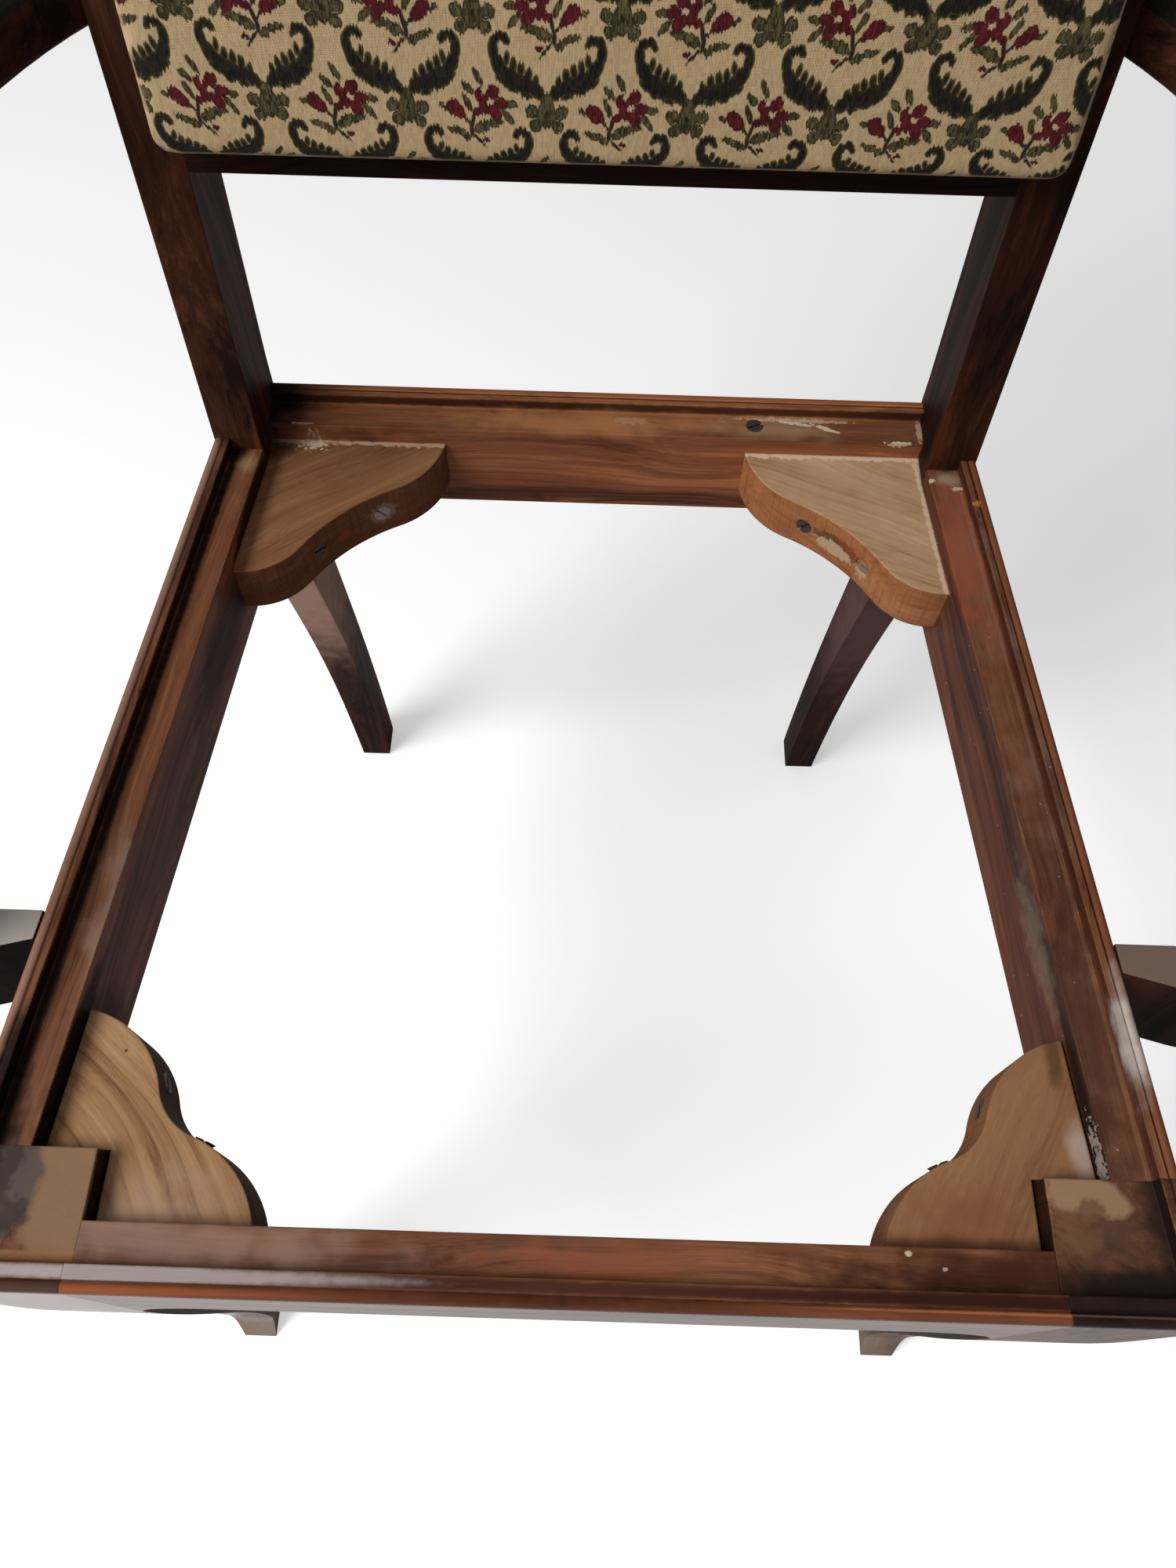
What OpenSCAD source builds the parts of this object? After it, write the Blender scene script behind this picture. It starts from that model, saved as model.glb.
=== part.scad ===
// Art deco armchair with a show-wood frame, without its loose seat.
// The seat frame is a moulded rail with a rebate for the loose seat, stiffened by four
// scroll-cut corner blocks. The back is an upholstered pad on raked posts.
// Millimetres, +Z up, front towards -Y. Heights are from the floor. Depths (y) are from the
// front of the back posts at seat level, until centred() puts the origin under the middle.

/* [Seat frame] */
// Height of the moulded lip of the seat frame above the floor
seat_height = 440; // [410:1:480]
// Width over the front of the seat frame
front_width = 493; // [450:1:540]
// Width over the back posts
back_width = 416; // [380:1:440]
// Depth from the front face of the seat to the front of the back posts
seat_depth = 429; // [400:1:470]
// Height of each seat rail
rail_height = 65; // [55:1:80]
// Depth of the rebate that takes the loose seat
rebate_depth = 8; // [6:0.5:12]
// Thickness of the side rails
side_rail_depth = 24.7; // [20:0.1:30]
// Thickness of the front rail
front_rail_depth = 27; // [22:0.5:32]
// Thickness of the rear rail
rear_rail_depth = 25; // [20:0.5:30]
// Depth of the front of the rear rail behind the front of the posts
rear_rail_set = 18.8; // [10:0.1:20]

/* [Moulded lip] */
// Width of the lip on the side rails
side_lip = 8.4; // [6:0.1:12]
// Width of the lip on the front rail and the fronts of the front legs
front_lip = 10.7; // [6:0.1:14]
// Width of the lip on the rear rail
rear_lip = 8.5; // [6:0.1:12]
// Radius of the bead along the outer edge of the lip
bead_radius = 2.6; // [1.5:0.1:3.5]
// Distance of the quirk beside the bead from the outer face
quirk = 5; // [4:0.1:7]
// Drop of the flat inside the bead below its crown
bead_crown = 0.4; // [0:0.1:1]

/* [Front legs] */
// Distance of the leg's inner face from the middle of the chair
leg_inner = 190; // [170:1:200]
// Depth of the leg block at seat level
leg_depth = 54.5; // [45:0.5:60]
// Height at which the leg starts to taper
taper_height = 330; // [300:5:360]
// Distance of the foot's inner edge from the middle of the chair
foot_inner = 207; // [195:1:215]
// Taper of the outer face at the floor
foot_outer_set = 17; // [5:0.5:25]
// Depth of the toe behind the front face
toe_set = 4.6; // [0:0.1:15]
// Depth of the instep behind the front face
instep_set = 15.5; // [5:0.5:25]
// Radius of the bracket under each end of the front rail
bracket_radius = 40; // [20:1:60]

/* [Back posts] */
// Width of each post
post_width = 24.7; // [20:0.1:30]
// Depth of each post at the seat
post_depth = 44; // [36:0.5:50]
// Depth of each post at its top
post_top_depth = 28; // [24:0.5:40]
// Rake of the back from the vertical
rake = 6.7; // [0:0.1:15]
// Depth of the rear foot's front edge
heel_front = 50.6; // [40:0.1:70]
// Depth of the rear foot's back edge
heel_back = 77; // [60:0.5:90]
// Shift of each rear foot towards the middle of the chair
heel_in = 7; // [0:0.5:12]
// Thickness of each rear foot
heel_width = 23.3; // [18:0.1:26]

/* [Back] */
// Distance up the back of the lower rail's bottom edge
lower_rail_base = 145.5; // [120:0.5:180]
// Height of the lower back rail
lower_rail_height = 44; // [35:1:60]
// Thickness of the lower back rail
lower_rail_depth = 24; // [20:0.5:30]
// Distance up the back of the crest rail's bottom edge
crest_base = 362; // [330:1:400]
// Height of the crest rail at its ends
crest_end = 44; // [35:1:60]
// Height of the crest rail in the middle
crest_middle = 58; // [50:1:90]
// Thickness of the crest rail
crest_depth = 27; // [22:0.5:30]
// Radius of the crest rail's upper corners
crest_corner = 14; // [4:1:25]

/* [Back pad] */
// Width of the pad
pad_width = 396; // [360:1:410]
// Distance up the back of the pad's lower edge
pad_base = 160; // [150:1:180]
// Distance up the back of the pad's upper edge
pad_top = 380; // [372:1:390]
// Radius of the pad's corners
pad_corner = 16; // [8:1:40]
// Radius of the piping around the pad
piping_radius = 2.8; // [2:0.1:4]
// Thickness of the webbing and of each cloth
cloth = 1.2; // [0.8:0.1:2]
// Width of the webbing
webbing_width = 50; // [40:1:60]

/* [Corner blocks] */
// Depth of the blocks' upper faces below the rebate
block_set = 11; // [5:0.5:20]
// Height of the blocks
block_height = 30; // [25:0.5:45]
// Rear block, lobe on the rear rail: x, y and radius
rear_lobe_a = [131.5, 25.9, 47];
// Rear block, lobe on the side rail: x, y and radius
rear_lobe_b = [187.1, -40.8, 35.4];
// Radius of the rear block's waist
rear_waist = 110; // [60:1:160]
// Front block, lobe on the side rail: x, y and radius
front_lobe_a = [218.1, -359.7, 45.6];
// Front block, lobe on the front rail: x, y and radius
front_lobe_b = [172.8, -411.6, 47.7];
// Radius of the front block's waist
front_waist = 28; // [18:1:60]
// Gap between the front block, the leg and the side rail
block_gap = 1.2; // [0.5:0.1:4]

/* [Screws and dowels] */
// Height of the screws in the corner blocks
screw_height = 406; // [395:0.5:415]
// Radius of the screw heads
screw_head = 4.8; // [4:0.1:6]
// Radius of the screw shanks
screw_shank = 2.2; // [1.5:0.1:3]
// Radius of the dowels
dowel_radius = 4.5; // [3:0.5:5]
// Length of the dowels
dowel_length = 40; // [30:1:50]

/* [Arms] */
// Height of the underside of the arms
arm_height = 639; // [620:1:680]
// Thickness of the arms
arm_thickness = 24; // [18:1:30]
// Width of the arms along their middle
arm_width = 54; // [40:1:65]
// Distance from the middle of the chair to the inner edge of the arms
arm_inner = 262; // [240:1:280]
// Depth of the front ends of the arms
arm_front = 335; // [290:1:380]
// Depth of the arm supports
support_y = 280; // [240:1:320]
// Angle of the arm supports towards the front
support_angle = 15; // [0:1:30]
// Thickness of the arm supports
support_thickness = 19; // [15:0.5:25]

/* [Hidden] */
$fn = 48;
steps = 14;          // points on each free curve
bore_fit = 0.05;     // play round a dowel or a screw
ledge = seat_height - rebate_depth;
rail_base = seat_height - rail_height;
block_base = ledge - block_set - block_height;
side_angle = atan((front_width - back_width) / 2 / seat_depth);
post_inner = back_width / 2 - post_width;
leg_back = leg_depth - seat_depth;
front_inner = front_rail_depth - seat_depth;
rear_back = rear_rail_set + rear_rail_depth;
centre_y = (seat_depth - heel_back) / 2;
wood = [0.36, 0.2, 0.13];
dark_wood = [0.2, 0.11, 0.08];
block_wood = [0.62, 0.47, 0.32];
steel = [0.45, 0.42, 0.4];
tapestry = [0.78, 0.7, 0.58];
linen = [0.7, 0.66, 0.56];

// Curves and places

function bezier(p, t) =
    pow(1 - t, 3) * p[0] + 3 * pow(1 - t, 2) * t * p[1]
    + 3 * (1 - t) * t * t * p[2] + pow(t, 3) * p[3];
function curve(p, first = 0) = [for (i = [first:steps]) bezier(p, i / steps)];

// The x of a line along the side rail, so far inside its outer face
function side_x(y, inset = 0) = back_width / 2 - y * tan(side_angle) - inset / cos(side_angle);

// The y and z of a point so far up the back and so far behind its front
function back_point(up, behind) =
    [up * sin(rake) + behind * cos(rake), seat_height + up * cos(rake) - behind * sin(rake)];

// Centre of the hollow arc that touches both lobes of a corner block
function waist_centre(a, b, r, turn) =
    let (
        from = [a.x, a.y],
        way = [b.x - a.x, b.y - a.y],
        gap = norm(way),
        ra = a.z + r,
        rb = b.z + r,
        along = (ra * ra - rb * rb + gap * gap) / (2 * gap),
        off = turn * sqrt(ra * ra - along * along)
    )
    from + along * way / gap + off * [-way.y, way.x] / gap;

rear_waist_at = waist_centre(rear_lobe_a, rear_lobe_b, rear_waist, -1);
front_waist_at = waist_centre(front_lobe_a, front_lobe_b, front_waist, -1);

module centred() {
    translate([0, centre_y, 0])
        children();
}

// Lays a section out along the right side rail, its x towards the middle of the chair
module along_side(length) {
    translate([back_width / 2, 0, 0])
        rotate([0, 0, side_angle])
            translate([0, 10, 0])
                rotate([90, 0, 0])
                    linear_extrude(length + 20)
                        mirror([1, 0])
                            children();
}

// Lays a section out along x, its x towards the back
module along_front(from, to) {
    translate([from, 0, 0])
        rotate([90, 0, 90])
            linear_extrude(to - from)
                children();
}

// Puts children on the raked back: x across, y behind its front, z up it
module on_back() {
    translate([0, 0, seat_height])
        rotate([-rake, 0, 0])
            children();
}

module slab(y0, y1) {
    translate([0, y0, 0])
        cube([400, y1 - y0, 1000]);
}

// Closed form through rings of points, with a fan over each end
module loft(rings, first, last) {
    n = len(rings[0]);
    m = len(rings);
    points = concat([for (ring = rings) each ring], [first, last]);
    sides = [
        for (i = [0:m - 2], j = [0:n - 1])
            let (a = i * n + j, b = i * n + (j + 1) % n)
                each [[a, b, b + n], [a, b + n, a + n]]
    ];
    ends = [
        for (j = [0:n - 1])
            each [[m * n, (j + 1) % n, j], [m * n + 1, (m - 1) * n + j, (m - 1) * n + (j + 1) % n]]
    ];
    polyhedron(points, concat(sides, ends));
}

// Seat rails

// Lip above the rebate: x from the outer face, y from the rebate
module lip_section(width) {
    translate([0, -1])
        square([quirk, rebate_depth - bead_radius + 1]);
    translate([bead_radius, rebate_depth - bead_radius])
        circle(bead_radius);
    translate([quirk, -1])
        square([width - quirk, rebate_depth - bead_crown + 1]);
}

module rail_section(depth, lip) {
    translate([0, rail_base])
        square([depth, ledge - rail_base]);
    translate([0, ledge])
        lip_section(lip);
}

module side_rail() {
    color(wood) centred() difference() {
        intersection() {
            along_side(seat_depth)
                rail_section(side_rail_depth, side_lip);
            slab(leg_back, 0);
        }
        seat_dowels(bore_fit);
        corner_screws(bore_fit);
    }
}

module front_rail() {
    color(wood) centred() difference() {
        union() {
            translate([0, -seat_depth, 0])
                along_front(-leg_inner, leg_inner)
                    rail_section(front_rail_depth, front_lip);
            for (side = [0, 1])
                mirror([side, 0, 0])
                    rail_bracket();
        }
        both_sides() {
            seat_dowels(bore_fit);
            corner_screws(bore_fit);
        }
    }
}

// Hollow bracket that carries the rail's lower edge down into the leg
module rail_bracket() {
    translate([leg_inner - bracket_radius, -seat_depth, rail_base - bracket_radius])
        difference() {
            cube([bracket_radius, front_rail_depth, bracket_radius + 1]);
            translate([0, -1, 0])
                rotate([-90, 0, 0])
                    cylinder(r = bracket_radius, h = front_rail_depth + 2);
        }
}

module rear_rail() {
    color(wood) centred() difference() {
        translate([0, rear_back, 0])
            along_front(-post_inner, post_inner)
                mirror([1, 0])
                    rail_section(rear_rail_depth, rear_lip);
        both_sides() {
            seat_dowels(bore_fit);
            corner_screws(bore_fit);
        }
        ledge_screw_at()
            wood_screw(28, bore_fit);
    }
}

module both_sides() {
    children();
    mirror([1, 0, 0])
        children();
}

// Front legs

module front_leg() {
    color(wood) centred() difference() {
        union() {
            intersection() {
                leg_side_view();
                leg_inner_view();
                leg_outer_view();
            }
            leg_lip();
        }
        seat_dowels(bore_fit);
    }
}

// Sabre profile, hollow in front, with the toe kicked forward
module leg_side_view() {
    front = -seat_depth;
    instep = [front + instep_set, 32];
    toe = [front + toe_set, 0];
    back_foot = [front + 25, 0];
    outline = concat(
        [[leg_back, ledge], [front, ledge]],
        curve([[front, taper_height + 25], [front, 260], [instep.x, 140], instep]),
        curve([instep, instep + [0, -12], toe + [6, 10], toe], 1),
        curve([back_foot, [front + 31, 60], [leg_back, 190], [leg_back, taper_height]])
    );
    along_front(leg_inner - 5, front_width / 2 + 5)
        polygon(outline);
}

module leg_inner_view() {
    outline = concat(
        [[leg_inner, ledge]],
        curve([[leg_inner, taper_height], [leg_inner, 230], [foot_inner - 5, 90], [foot_inner, 0]]),
        [[front_width, 0], [front_width, ledge]]
    );
    rotate([90, 0, 0])
        linear_extrude(seat_depth + 10)
            polygon(outline);
}

module leg_outer_view() {
    taper = [[0, taper_height], [0, 160], [2, 50], [foot_outer_set, 0]];
    outline = concat([[90, ledge], [0, ledge]], curve(taper), [[90, 0]]);
    along_side(seat_depth + 10)
        polygon(outline);
}

// The lip runs on round the leg and is mitred at the corner
module leg_lip() {
    outer = [side_x(-seat_depth), -seat_depth];
    inner_y = front_lip - seat_depth;
    inner = [side_x(inner_y, side_lip), inner_y];
    beyond = outer + (outer - inner);
    intersection() {
        translate([0, -seat_depth, ledge])
            along_front(leg_inner, beyond.x)
                lip_section(front_lip);
        linear_extrude(seat_height + 1)
            polygon([inner, beyond, [leg_inner, beyond.y], [leg_inner, inner.y]]);
    }
    intersection() {
        translate([0, 0, ledge])
            along_side(seat_depth + 20)
                lip_section(side_lip);
        linear_extrude(seat_height + 1)
            polygon([inner, beyond, [beyond.x, leg_back], [inner.x - 20, leg_back]]);
    }
}

// Back legs, each one piece with the post above it

module back_leg() {
    color(dark_wood) centred() difference() {
        intersection() {
            back_leg_side_view();
            back_leg_front_view();
        }
        seat_dowels(bore_fit);
        back_dowels(bore_fit);
        arm_dowels(bore_fit);
    }
}

module back_leg_side_view() {
    shin = seat_height - 35;
    outline = concat(
        [back_point(crest_base, 0), [0, seat_height]],
        curve([[0, shin], [0, 286], [42.4, 244], [heel_front, 0]]),
        curve([[heel_back, 0], [heel_back, 150], [post_depth + 11, 280], [post_depth, shin]]),
        [back_point(20, post_depth)],
        curve([back_point(170, post_depth), back_point(230, post_depth), back_point(300, post_top_depth + 5),
            back_point(crest_base, post_top_depth)])
    );
    along_front(post_inner - heel_in, back_width / 2)
        polygon(outline);
}

module back_leg_front_view() {
    foot = back_width / 2 - heel_in;
    rotate([90, 0, 0])
        translate([0, 0, -200])
            linear_extrude(400)
                polygon([
                    [post_inner, 1000], [back_width / 2, 1000], [back_width / 2, rail_base], [foot, 0],
                    [foot - heel_width, 0], [post_inner, rail_base]
                ]);
}

// Corner blocks

// Two round lobes and the hollow between them, run out into the corner
module block_outline(a, b, waist, waist_at, corner) {
    translate([a.x, a.y])
        circle(a.z, $fn = 96);
    translate([b.x, b.y])
        circle(b.z, $fn = 96);
    difference() {
        polygon(concat([[b.x, b.y], waist_at, [a.x, a.y]], corner));
        translate(waist_at)
            circle(waist, $fn = 96);
    }
}

module rear_block() {
    color(block_wood) centred() difference() {
        translate([0, 0, block_base])
            linear_extrude(block_height)
                intersection() {
                    polygon([
                        [60, rear_rail_set], [post_inner, rear_rail_set], [post_inner, 0],
                        [side_x(0, side_rail_depth), 0], [side_x(-120, side_rail_depth), -120], [60, -120]
                    ]);
                    block_outline(rear_lobe_a, rear_lobe_b, rear_waist, rear_waist_at,
                        [[back_width / 2, rear_rail_set], [back_width / 2, -40]]);
                }
        corner_screws(bore_fit);
    }
}

module front_block() {
    edge = side_rail_depth + block_gap;
    notch = [leg_inner - block_gap, leg_back + block_gap];
    color(block_wood) centred() difference() {
        translate([0, 0, block_base])
            linear_extrude(block_height)
                intersection() {
                    polygon([
                        [side_x(-280, edge), -280], [side_x(notch.y, edge), notch.y], notch,
                        [notch.x, front_inner], [60, front_inner], [60, -280]
                    ]);
                    block_outline(front_lobe_a, front_lobe_b, front_waist, front_waist_at,
                        [[front_width / 2, -seat_depth]]);
                }
        corner_screws(bore_fit);
    }
}

// Screws and dowels. Each set is drawn for the right-hand side; play makes it the hole for one.

// Slotted countersunk wood screw: the face of its head at the origin, its shank along z
module wood_screw(length, play = 0) {
    difference() {
        union() {
            cylinder(h = 3.4, r1 = screw_head + play, r2 = screw_shank + play);
            cylinder(h = length - 6, r = screw_shank + play);
            translate([0, 0, length - 6])
                cylinder(h = 6, r1 = screw_shank + play, r2 = 0.5 + play);
            if (play > 0)
                translate([0, 0, -8])
                    cylinder(h = 8.02, r = screw_head + play);
        }
        if (play == 0)
            translate([-screw_head - 1, -0.7, -1])
                cube([2 * screw_head + 2, 1.4, 2.4]);
    }
}

// A screw through a block, square to the arc it enters and proud of it by a little
module screw_on(arc_at, radius, angle, way, proud, twist, length, play) {
    at = arc_at + radius * [cos(angle), sin(angle)] - proud * way * [cos(angle), sin(angle)];
    translate([at.x, at.y, screw_height])
        rotate([0, 0, angle + (way > 0 ? 0 : 180)])
            rotate([0, 90, 0])
                rotate([0, 0, twist])
                    wood_screw(length, play);
}

module corner_screws(play = 0) {
    screw_on(rear_waist_at, rear_waist, 59, 1, 0, 35, 60, play);
    screw_on(rear_waist_at, rear_waist, 37.5, 1, -0.6, 80, 60, play);
    screw_on([front_lobe_a.x, front_lobe_a.y], front_lobe_a.z, 157, -1, 0, 60, 50, play);
    screw_on([front_lobe_b.x, front_lobe_b.y], front_lobe_b.z, 111, -1, 1.2, 10, 50, play);
}

module ledge_screw_at() {
    translate([89.4, rear_rail_set + 10.2, ledge - 0.3])
        rotate([180, 0, 25])
            children();
}

module dowel(play) {
    translate([0, 0, -dowel_length / 2 - play])
        cylinder(h = dowel_length + 2 * play, r = dowel_radius + play);
}

module seat_dowels(play = 0) {
    for (z = [rail_base + 15, ledge - 15]) {
        // front rail to front leg
        translate([leg_inner, -seat_depth + 15, z])
            rotate([0, 90, 0])
                dowel(play);
        // rear rail to back leg
        translate([post_inner, rear_back - 10, z])
            rotate([0, 90, 0])
                dowel(play);
        // side rail to both legs
        for (y = [leg_back, -2])
            translate([side_x(y, side_rail_depth / 2), y, z])
                rotate([90, 0, side_angle])
                    dowel(play);
    }
}

module back_dowels(play = 0) {
    on_back() {
        for (up = [13, 31])
            translate([post_inner, lower_rail_depth / 2, lower_rail_base + up])
                rotate([0, 90, 0])
                    dowel(play);
        translate([back_width / 2 - post_width / 2, crest_depth / 2, crest_base])
            dowel(play);
    }
}

module arm_dowels(play = 0) {
    translate([back_width / 2, back_point(arm_height - seat_height, 21).x, arm_height + arm_thickness / 2])
        rotate([0, 90, -20])
            dowel(play);
    translate([side_x(-support_y), -support_y, 0])
        rotate([0, 0, -support_angle]) {
            for (z = [rail_base + 18, ledge - 12])
                translate([8, 0, z])
                    rotate([0, 90, 0])
                        dowel(play);
            translate([60, 0, arm_height - 4])
                dowel(play);
        }
}

// Back

module lower_back_rail() {
    color(dark_wood) centred() difference() {
        on_back()
            translate([-post_inner, 0, lower_rail_base])
                cube([2 * post_inner, lower_rail_depth, lower_rail_height]);
        both_sides()
            back_dowels(bore_fit);
    }
}

// Crest rail arched along its top, with corners that run into the arch
module crest_outline() {
    half = back_width / 2;
    rise = crest_middle - crest_end;
    arch = (half * half + rise * rise) / (2 * rise);
    centre = [0, crest_middle - arch];
    inset = half - crest_corner;
    corner = [inset, centre.y + sqrt(pow(arch - crest_corner, 2) - pow(inset, 2))];
    beyond = centre + (corner - centre) * (arch + 5) / (arch - crest_corner);
    intersection() {
        translate(centre)
            circle(arch, $fn = 240);
        polygon([
            [-half, 0], [half, 0], [half, corner.y], corner, beyond, [0, 2 * crest_middle],
            [-beyond.x, beyond.y], [-corner.x, corner.y], [-half, corner.y]
        ]);
    }
    for (side = [-1, 1])
        translate([side * corner.x, corner.y])
            circle(crest_corner);
}

module crest_rail() {
    color(dark_wood) centred() difference() {
        on_back()
            translate([0, crest_depth, crest_base])
                rotate([90, 0, 0])
                    linear_extrude(crest_depth)
                        crest_outline();
        both_sides()
            back_dowels(bore_fit);
    }
}

// Woven straps tacked to the front of the frame, uprights under the cross straps
module back_webbing() {
    edge = 2 * piping_radius + 1.4;
    top = pad_top - edge;
    base = pad_base + edge;
    color(linen) centred() on_back() {
        for (x = [-90, 0, 90])
            translate([x - webbing_width / 2, -cloth, base])
                cube([webbing_width, cloth, top - base]);
        for (up = [base + 35, base + 115])
            translate([-post_inner - 7, -2 * cloth, up])
                cube([2 * post_inner + 14, cloth, webbing_width]);
    }
}

module outside_back() {
    color(linen) centred() on_back()
        translate([-post_inner + 0.5, crest_depth - 2, lower_rail_base + 8])
            cube([2 * post_inner - 1, cloth, crest_base - lower_rail_base - 8.5]);
}

// Rounded outline of the pad so far inside its edge, at a depth in front of the back
function pad_ring(inset, depth) =
    let (
        r = max(pad_corner - inset, 3),
        w = pad_width / 2 - inset - r,
        h = (pad_top - pad_base) / 2 - inset - r,
        middle = (pad_top + pad_base) / 2,
        turn = 6
    )
    [
        for (corner = [0:3], i = [0:turn])
            let (
                a = corner * 90 + i * 90 / turn,
                sx = corner == 0 || corner == 3 ? 1 : -1,
                sz = corner < 2 ? 1 : -1
            )
                [sx * w + r * cos(a), -depth, middle + sz * h + r * sin(a)]
    ];

// Stuffed pad: rolled edge over the piping, then a shallow crown
module back_pad() {
    edge = 2 * piping_radius;
    section = [
        [92, 25.4], [64, 24.8], [36, 23.6], [18, 22], [8, 20.4], [3, 18.2], [0.6, 14.5], [0, 10],
        [0.4, edge + 1.2], [edge / 2, edge + 0.7], [edge + 0.6, 4.6], [edge + 0.8, 3.2], [edge + 12, 3.2]
    ];
    middle = (pad_top + pad_base) / 2;
    color(tapestry) centred() on_back()
        loft([for (s = section) pad_ring(s.x, s.y)], [0, -25.6, middle], [0, -3.2, middle]);
}

module back_piping() {
    r = pad_corner - piping_radius;
    w = pad_width / 2 - pad_corner;
    h = (pad_top - pad_base) / 2 - pad_corner;
    color(tapestry) centred() on_back()
        translate([0, -piping_radius - 0.1, (pad_top + pad_base) / 2])
            rotate([90, 0, 0])
                for (corner = [0:3]) {
                    sx = corner == 0 || corner == 3 ? 1 : -1;
                    sy = corner < 2 ? 1 : -1;
                    run = corner % 2 == 0 ? 2 * w : 2 * h;
                    translate([sx * w, sy * h, 0])
                        rotate([0, 0, corner * 90]) {
                            rotate_extrude(angle = 90)
                                translate([r, 0])
                                    circle(piping_radius);
                            translate([0, r, 0])
                                rotate([0, -90, 0])
                                    cylinder(h = run, r = piping_radius);
                        }
                }
}

// Arms

// Flat arm that swings out from the post and ends in a round nose
module armrest() {
    post_y = back_point(arm_height - seat_height, 0).x;
    inner = [
        [back_width / 2, post_y + 2], [arm_inner - 6, post_y - 70],
        [arm_inner + 1, -150], [arm_inner, -arm_front]
    ];
    outer = [
        [back_width / 2, post_y + 41], [arm_inner + arm_width - 22, post_y - 34],
        [arm_inner + arm_width + 4, -150], [arm_inner + arm_width, -arm_front]
    ];
    start = [back_width / 2, post_y + 21.5, arm_height + arm_thickness / 2];
    sections = 30;
    nose = 0.88;
    turn = 20;
    rings = [
        for (i = [0:sections])
            let (
                t = i / sections < 0.6 ? i / sections / 0.6 * 0.85 : 0.85 + (i / sections - 0.6) / 0.4 * 0.15,
                a = bezier(inner, t),
                b = bezier(outer, t),
                round_in = t < nose ? 1 : sqrt(max(1 - pow((t - nose) / (1 - nose), 2), 0.004)),
                thick = arm_thickness / 2 * (0.45 + 0.55 * pow(round_in, 0.6))
            )
                [
                    for (j = [0:turn - 1])
                        let (
                            c = cos(-j * 360 / turn),
                            s = sin(-j * 360 / turn),
                            across = (a + b) / 2 + (b - a) / 2 * round_in * sign(c) * pow(abs(c), 0.5),
                            up = thick * sign(s) * pow(abs(s), 0.5)
                        )
                            [across.x, across.y, start.z + up]
                ]
    ];
    end = bezier((inner + outer) / 2, 1);
    color(dark_wood) centred() difference() {
        loft(rings, start, [end.x, end.y, start.z]);
        arm_dowels(bore_fit);
    }
}

// Board on edge against the side rail that sweeps up to the arm
module arm_support() {
    outline = concat(
        [[44, arm_height], [42, 510]],
        curve([[42, 500], [42, 465], [40, seat_height], [25, seat_height]]),
        [[-10, seat_height], [-10, rail_base], [46, rail_base]],
        curve([[50, rail_base], [68, rail_base], [74, 400], [74, 500]]),
        [[76, arm_height]]
    );
    color(dark_wood) centred() difference() {
        translate([side_x(-support_y), -support_y, 0])
            rotate([0, 0, -support_angle])
                translate([0, support_thickness / 2, 0])
                    rotate([90, 0, 0])
                        linear_extrude(support_thickness)
                            polygon(outline);
        along_side(seat_depth)
            translate([0, rail_base - 1])
                square([30, rail_height + 2]);
        slab(3 - support_y, 0);
        arm_dowels(bore_fit);
    }
}

// Fastenings as sub-parts, on both sides of the chair

module block_screws() {
    color(steel) centred() both_sides()
        corner_screws();
}

module ledge_screw() {
    color(steel) centred() ledge_screw_at()
        wood_screw(28);
}

module seat_frame_dowels() {
    color(block_wood) centred() both_sides()
        seat_dowels();
}

module back_frame_dowels() {
    color(block_wood) centred() both_sides()
        back_dowels();
}

module arm_frame_dowels() {
    color(block_wood) centred() both_sides()
        arm_dowels();
}

module left() {
    mirror([1, 0, 0])
        children();
}

front_rail();
rear_rail();
left() side_rail();  // side_rail_left
side_rail();  // side_rail_right
left() front_leg();  // front_leg_left
front_leg();  // front_leg_right
left() back_leg();  // back_leg_left
back_leg();  // back_leg_right
left() front_block();  // front_block_left
front_block();  // front_block_right
left() rear_block();  // rear_block_left
rear_block();  // rear_block_right
block_screws();
ledge_screw();
seat_frame_dowels();
back_frame_dowels();
arm_frame_dowels();
lower_back_rail();
crest_rail();
back_webbing();
outside_back();
back_pad();
back_piping();
left() armrest();  // arm_left
armrest();  // arm_right
left() arm_support();  // arm_support_left
arm_support();  // arm_support_right
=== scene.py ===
# %% [markdown]
# # Art deco armchair without its loose seat
#
# The chair stands open: its drop-in seat has been lifted out, so the rebated seat rails,
# the scroll-cut corner blocks and their old screws all show. Behind them is a back pad in
# floral tapestry. The solid parts come ready made from the CAD model. This lesson gives
# them their wood, metal and cloth, and makes the soft parts again as cloth.

import math

import bmesh
import bpy
import numpy as np
from mathutils import Matrix, Vector


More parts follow.
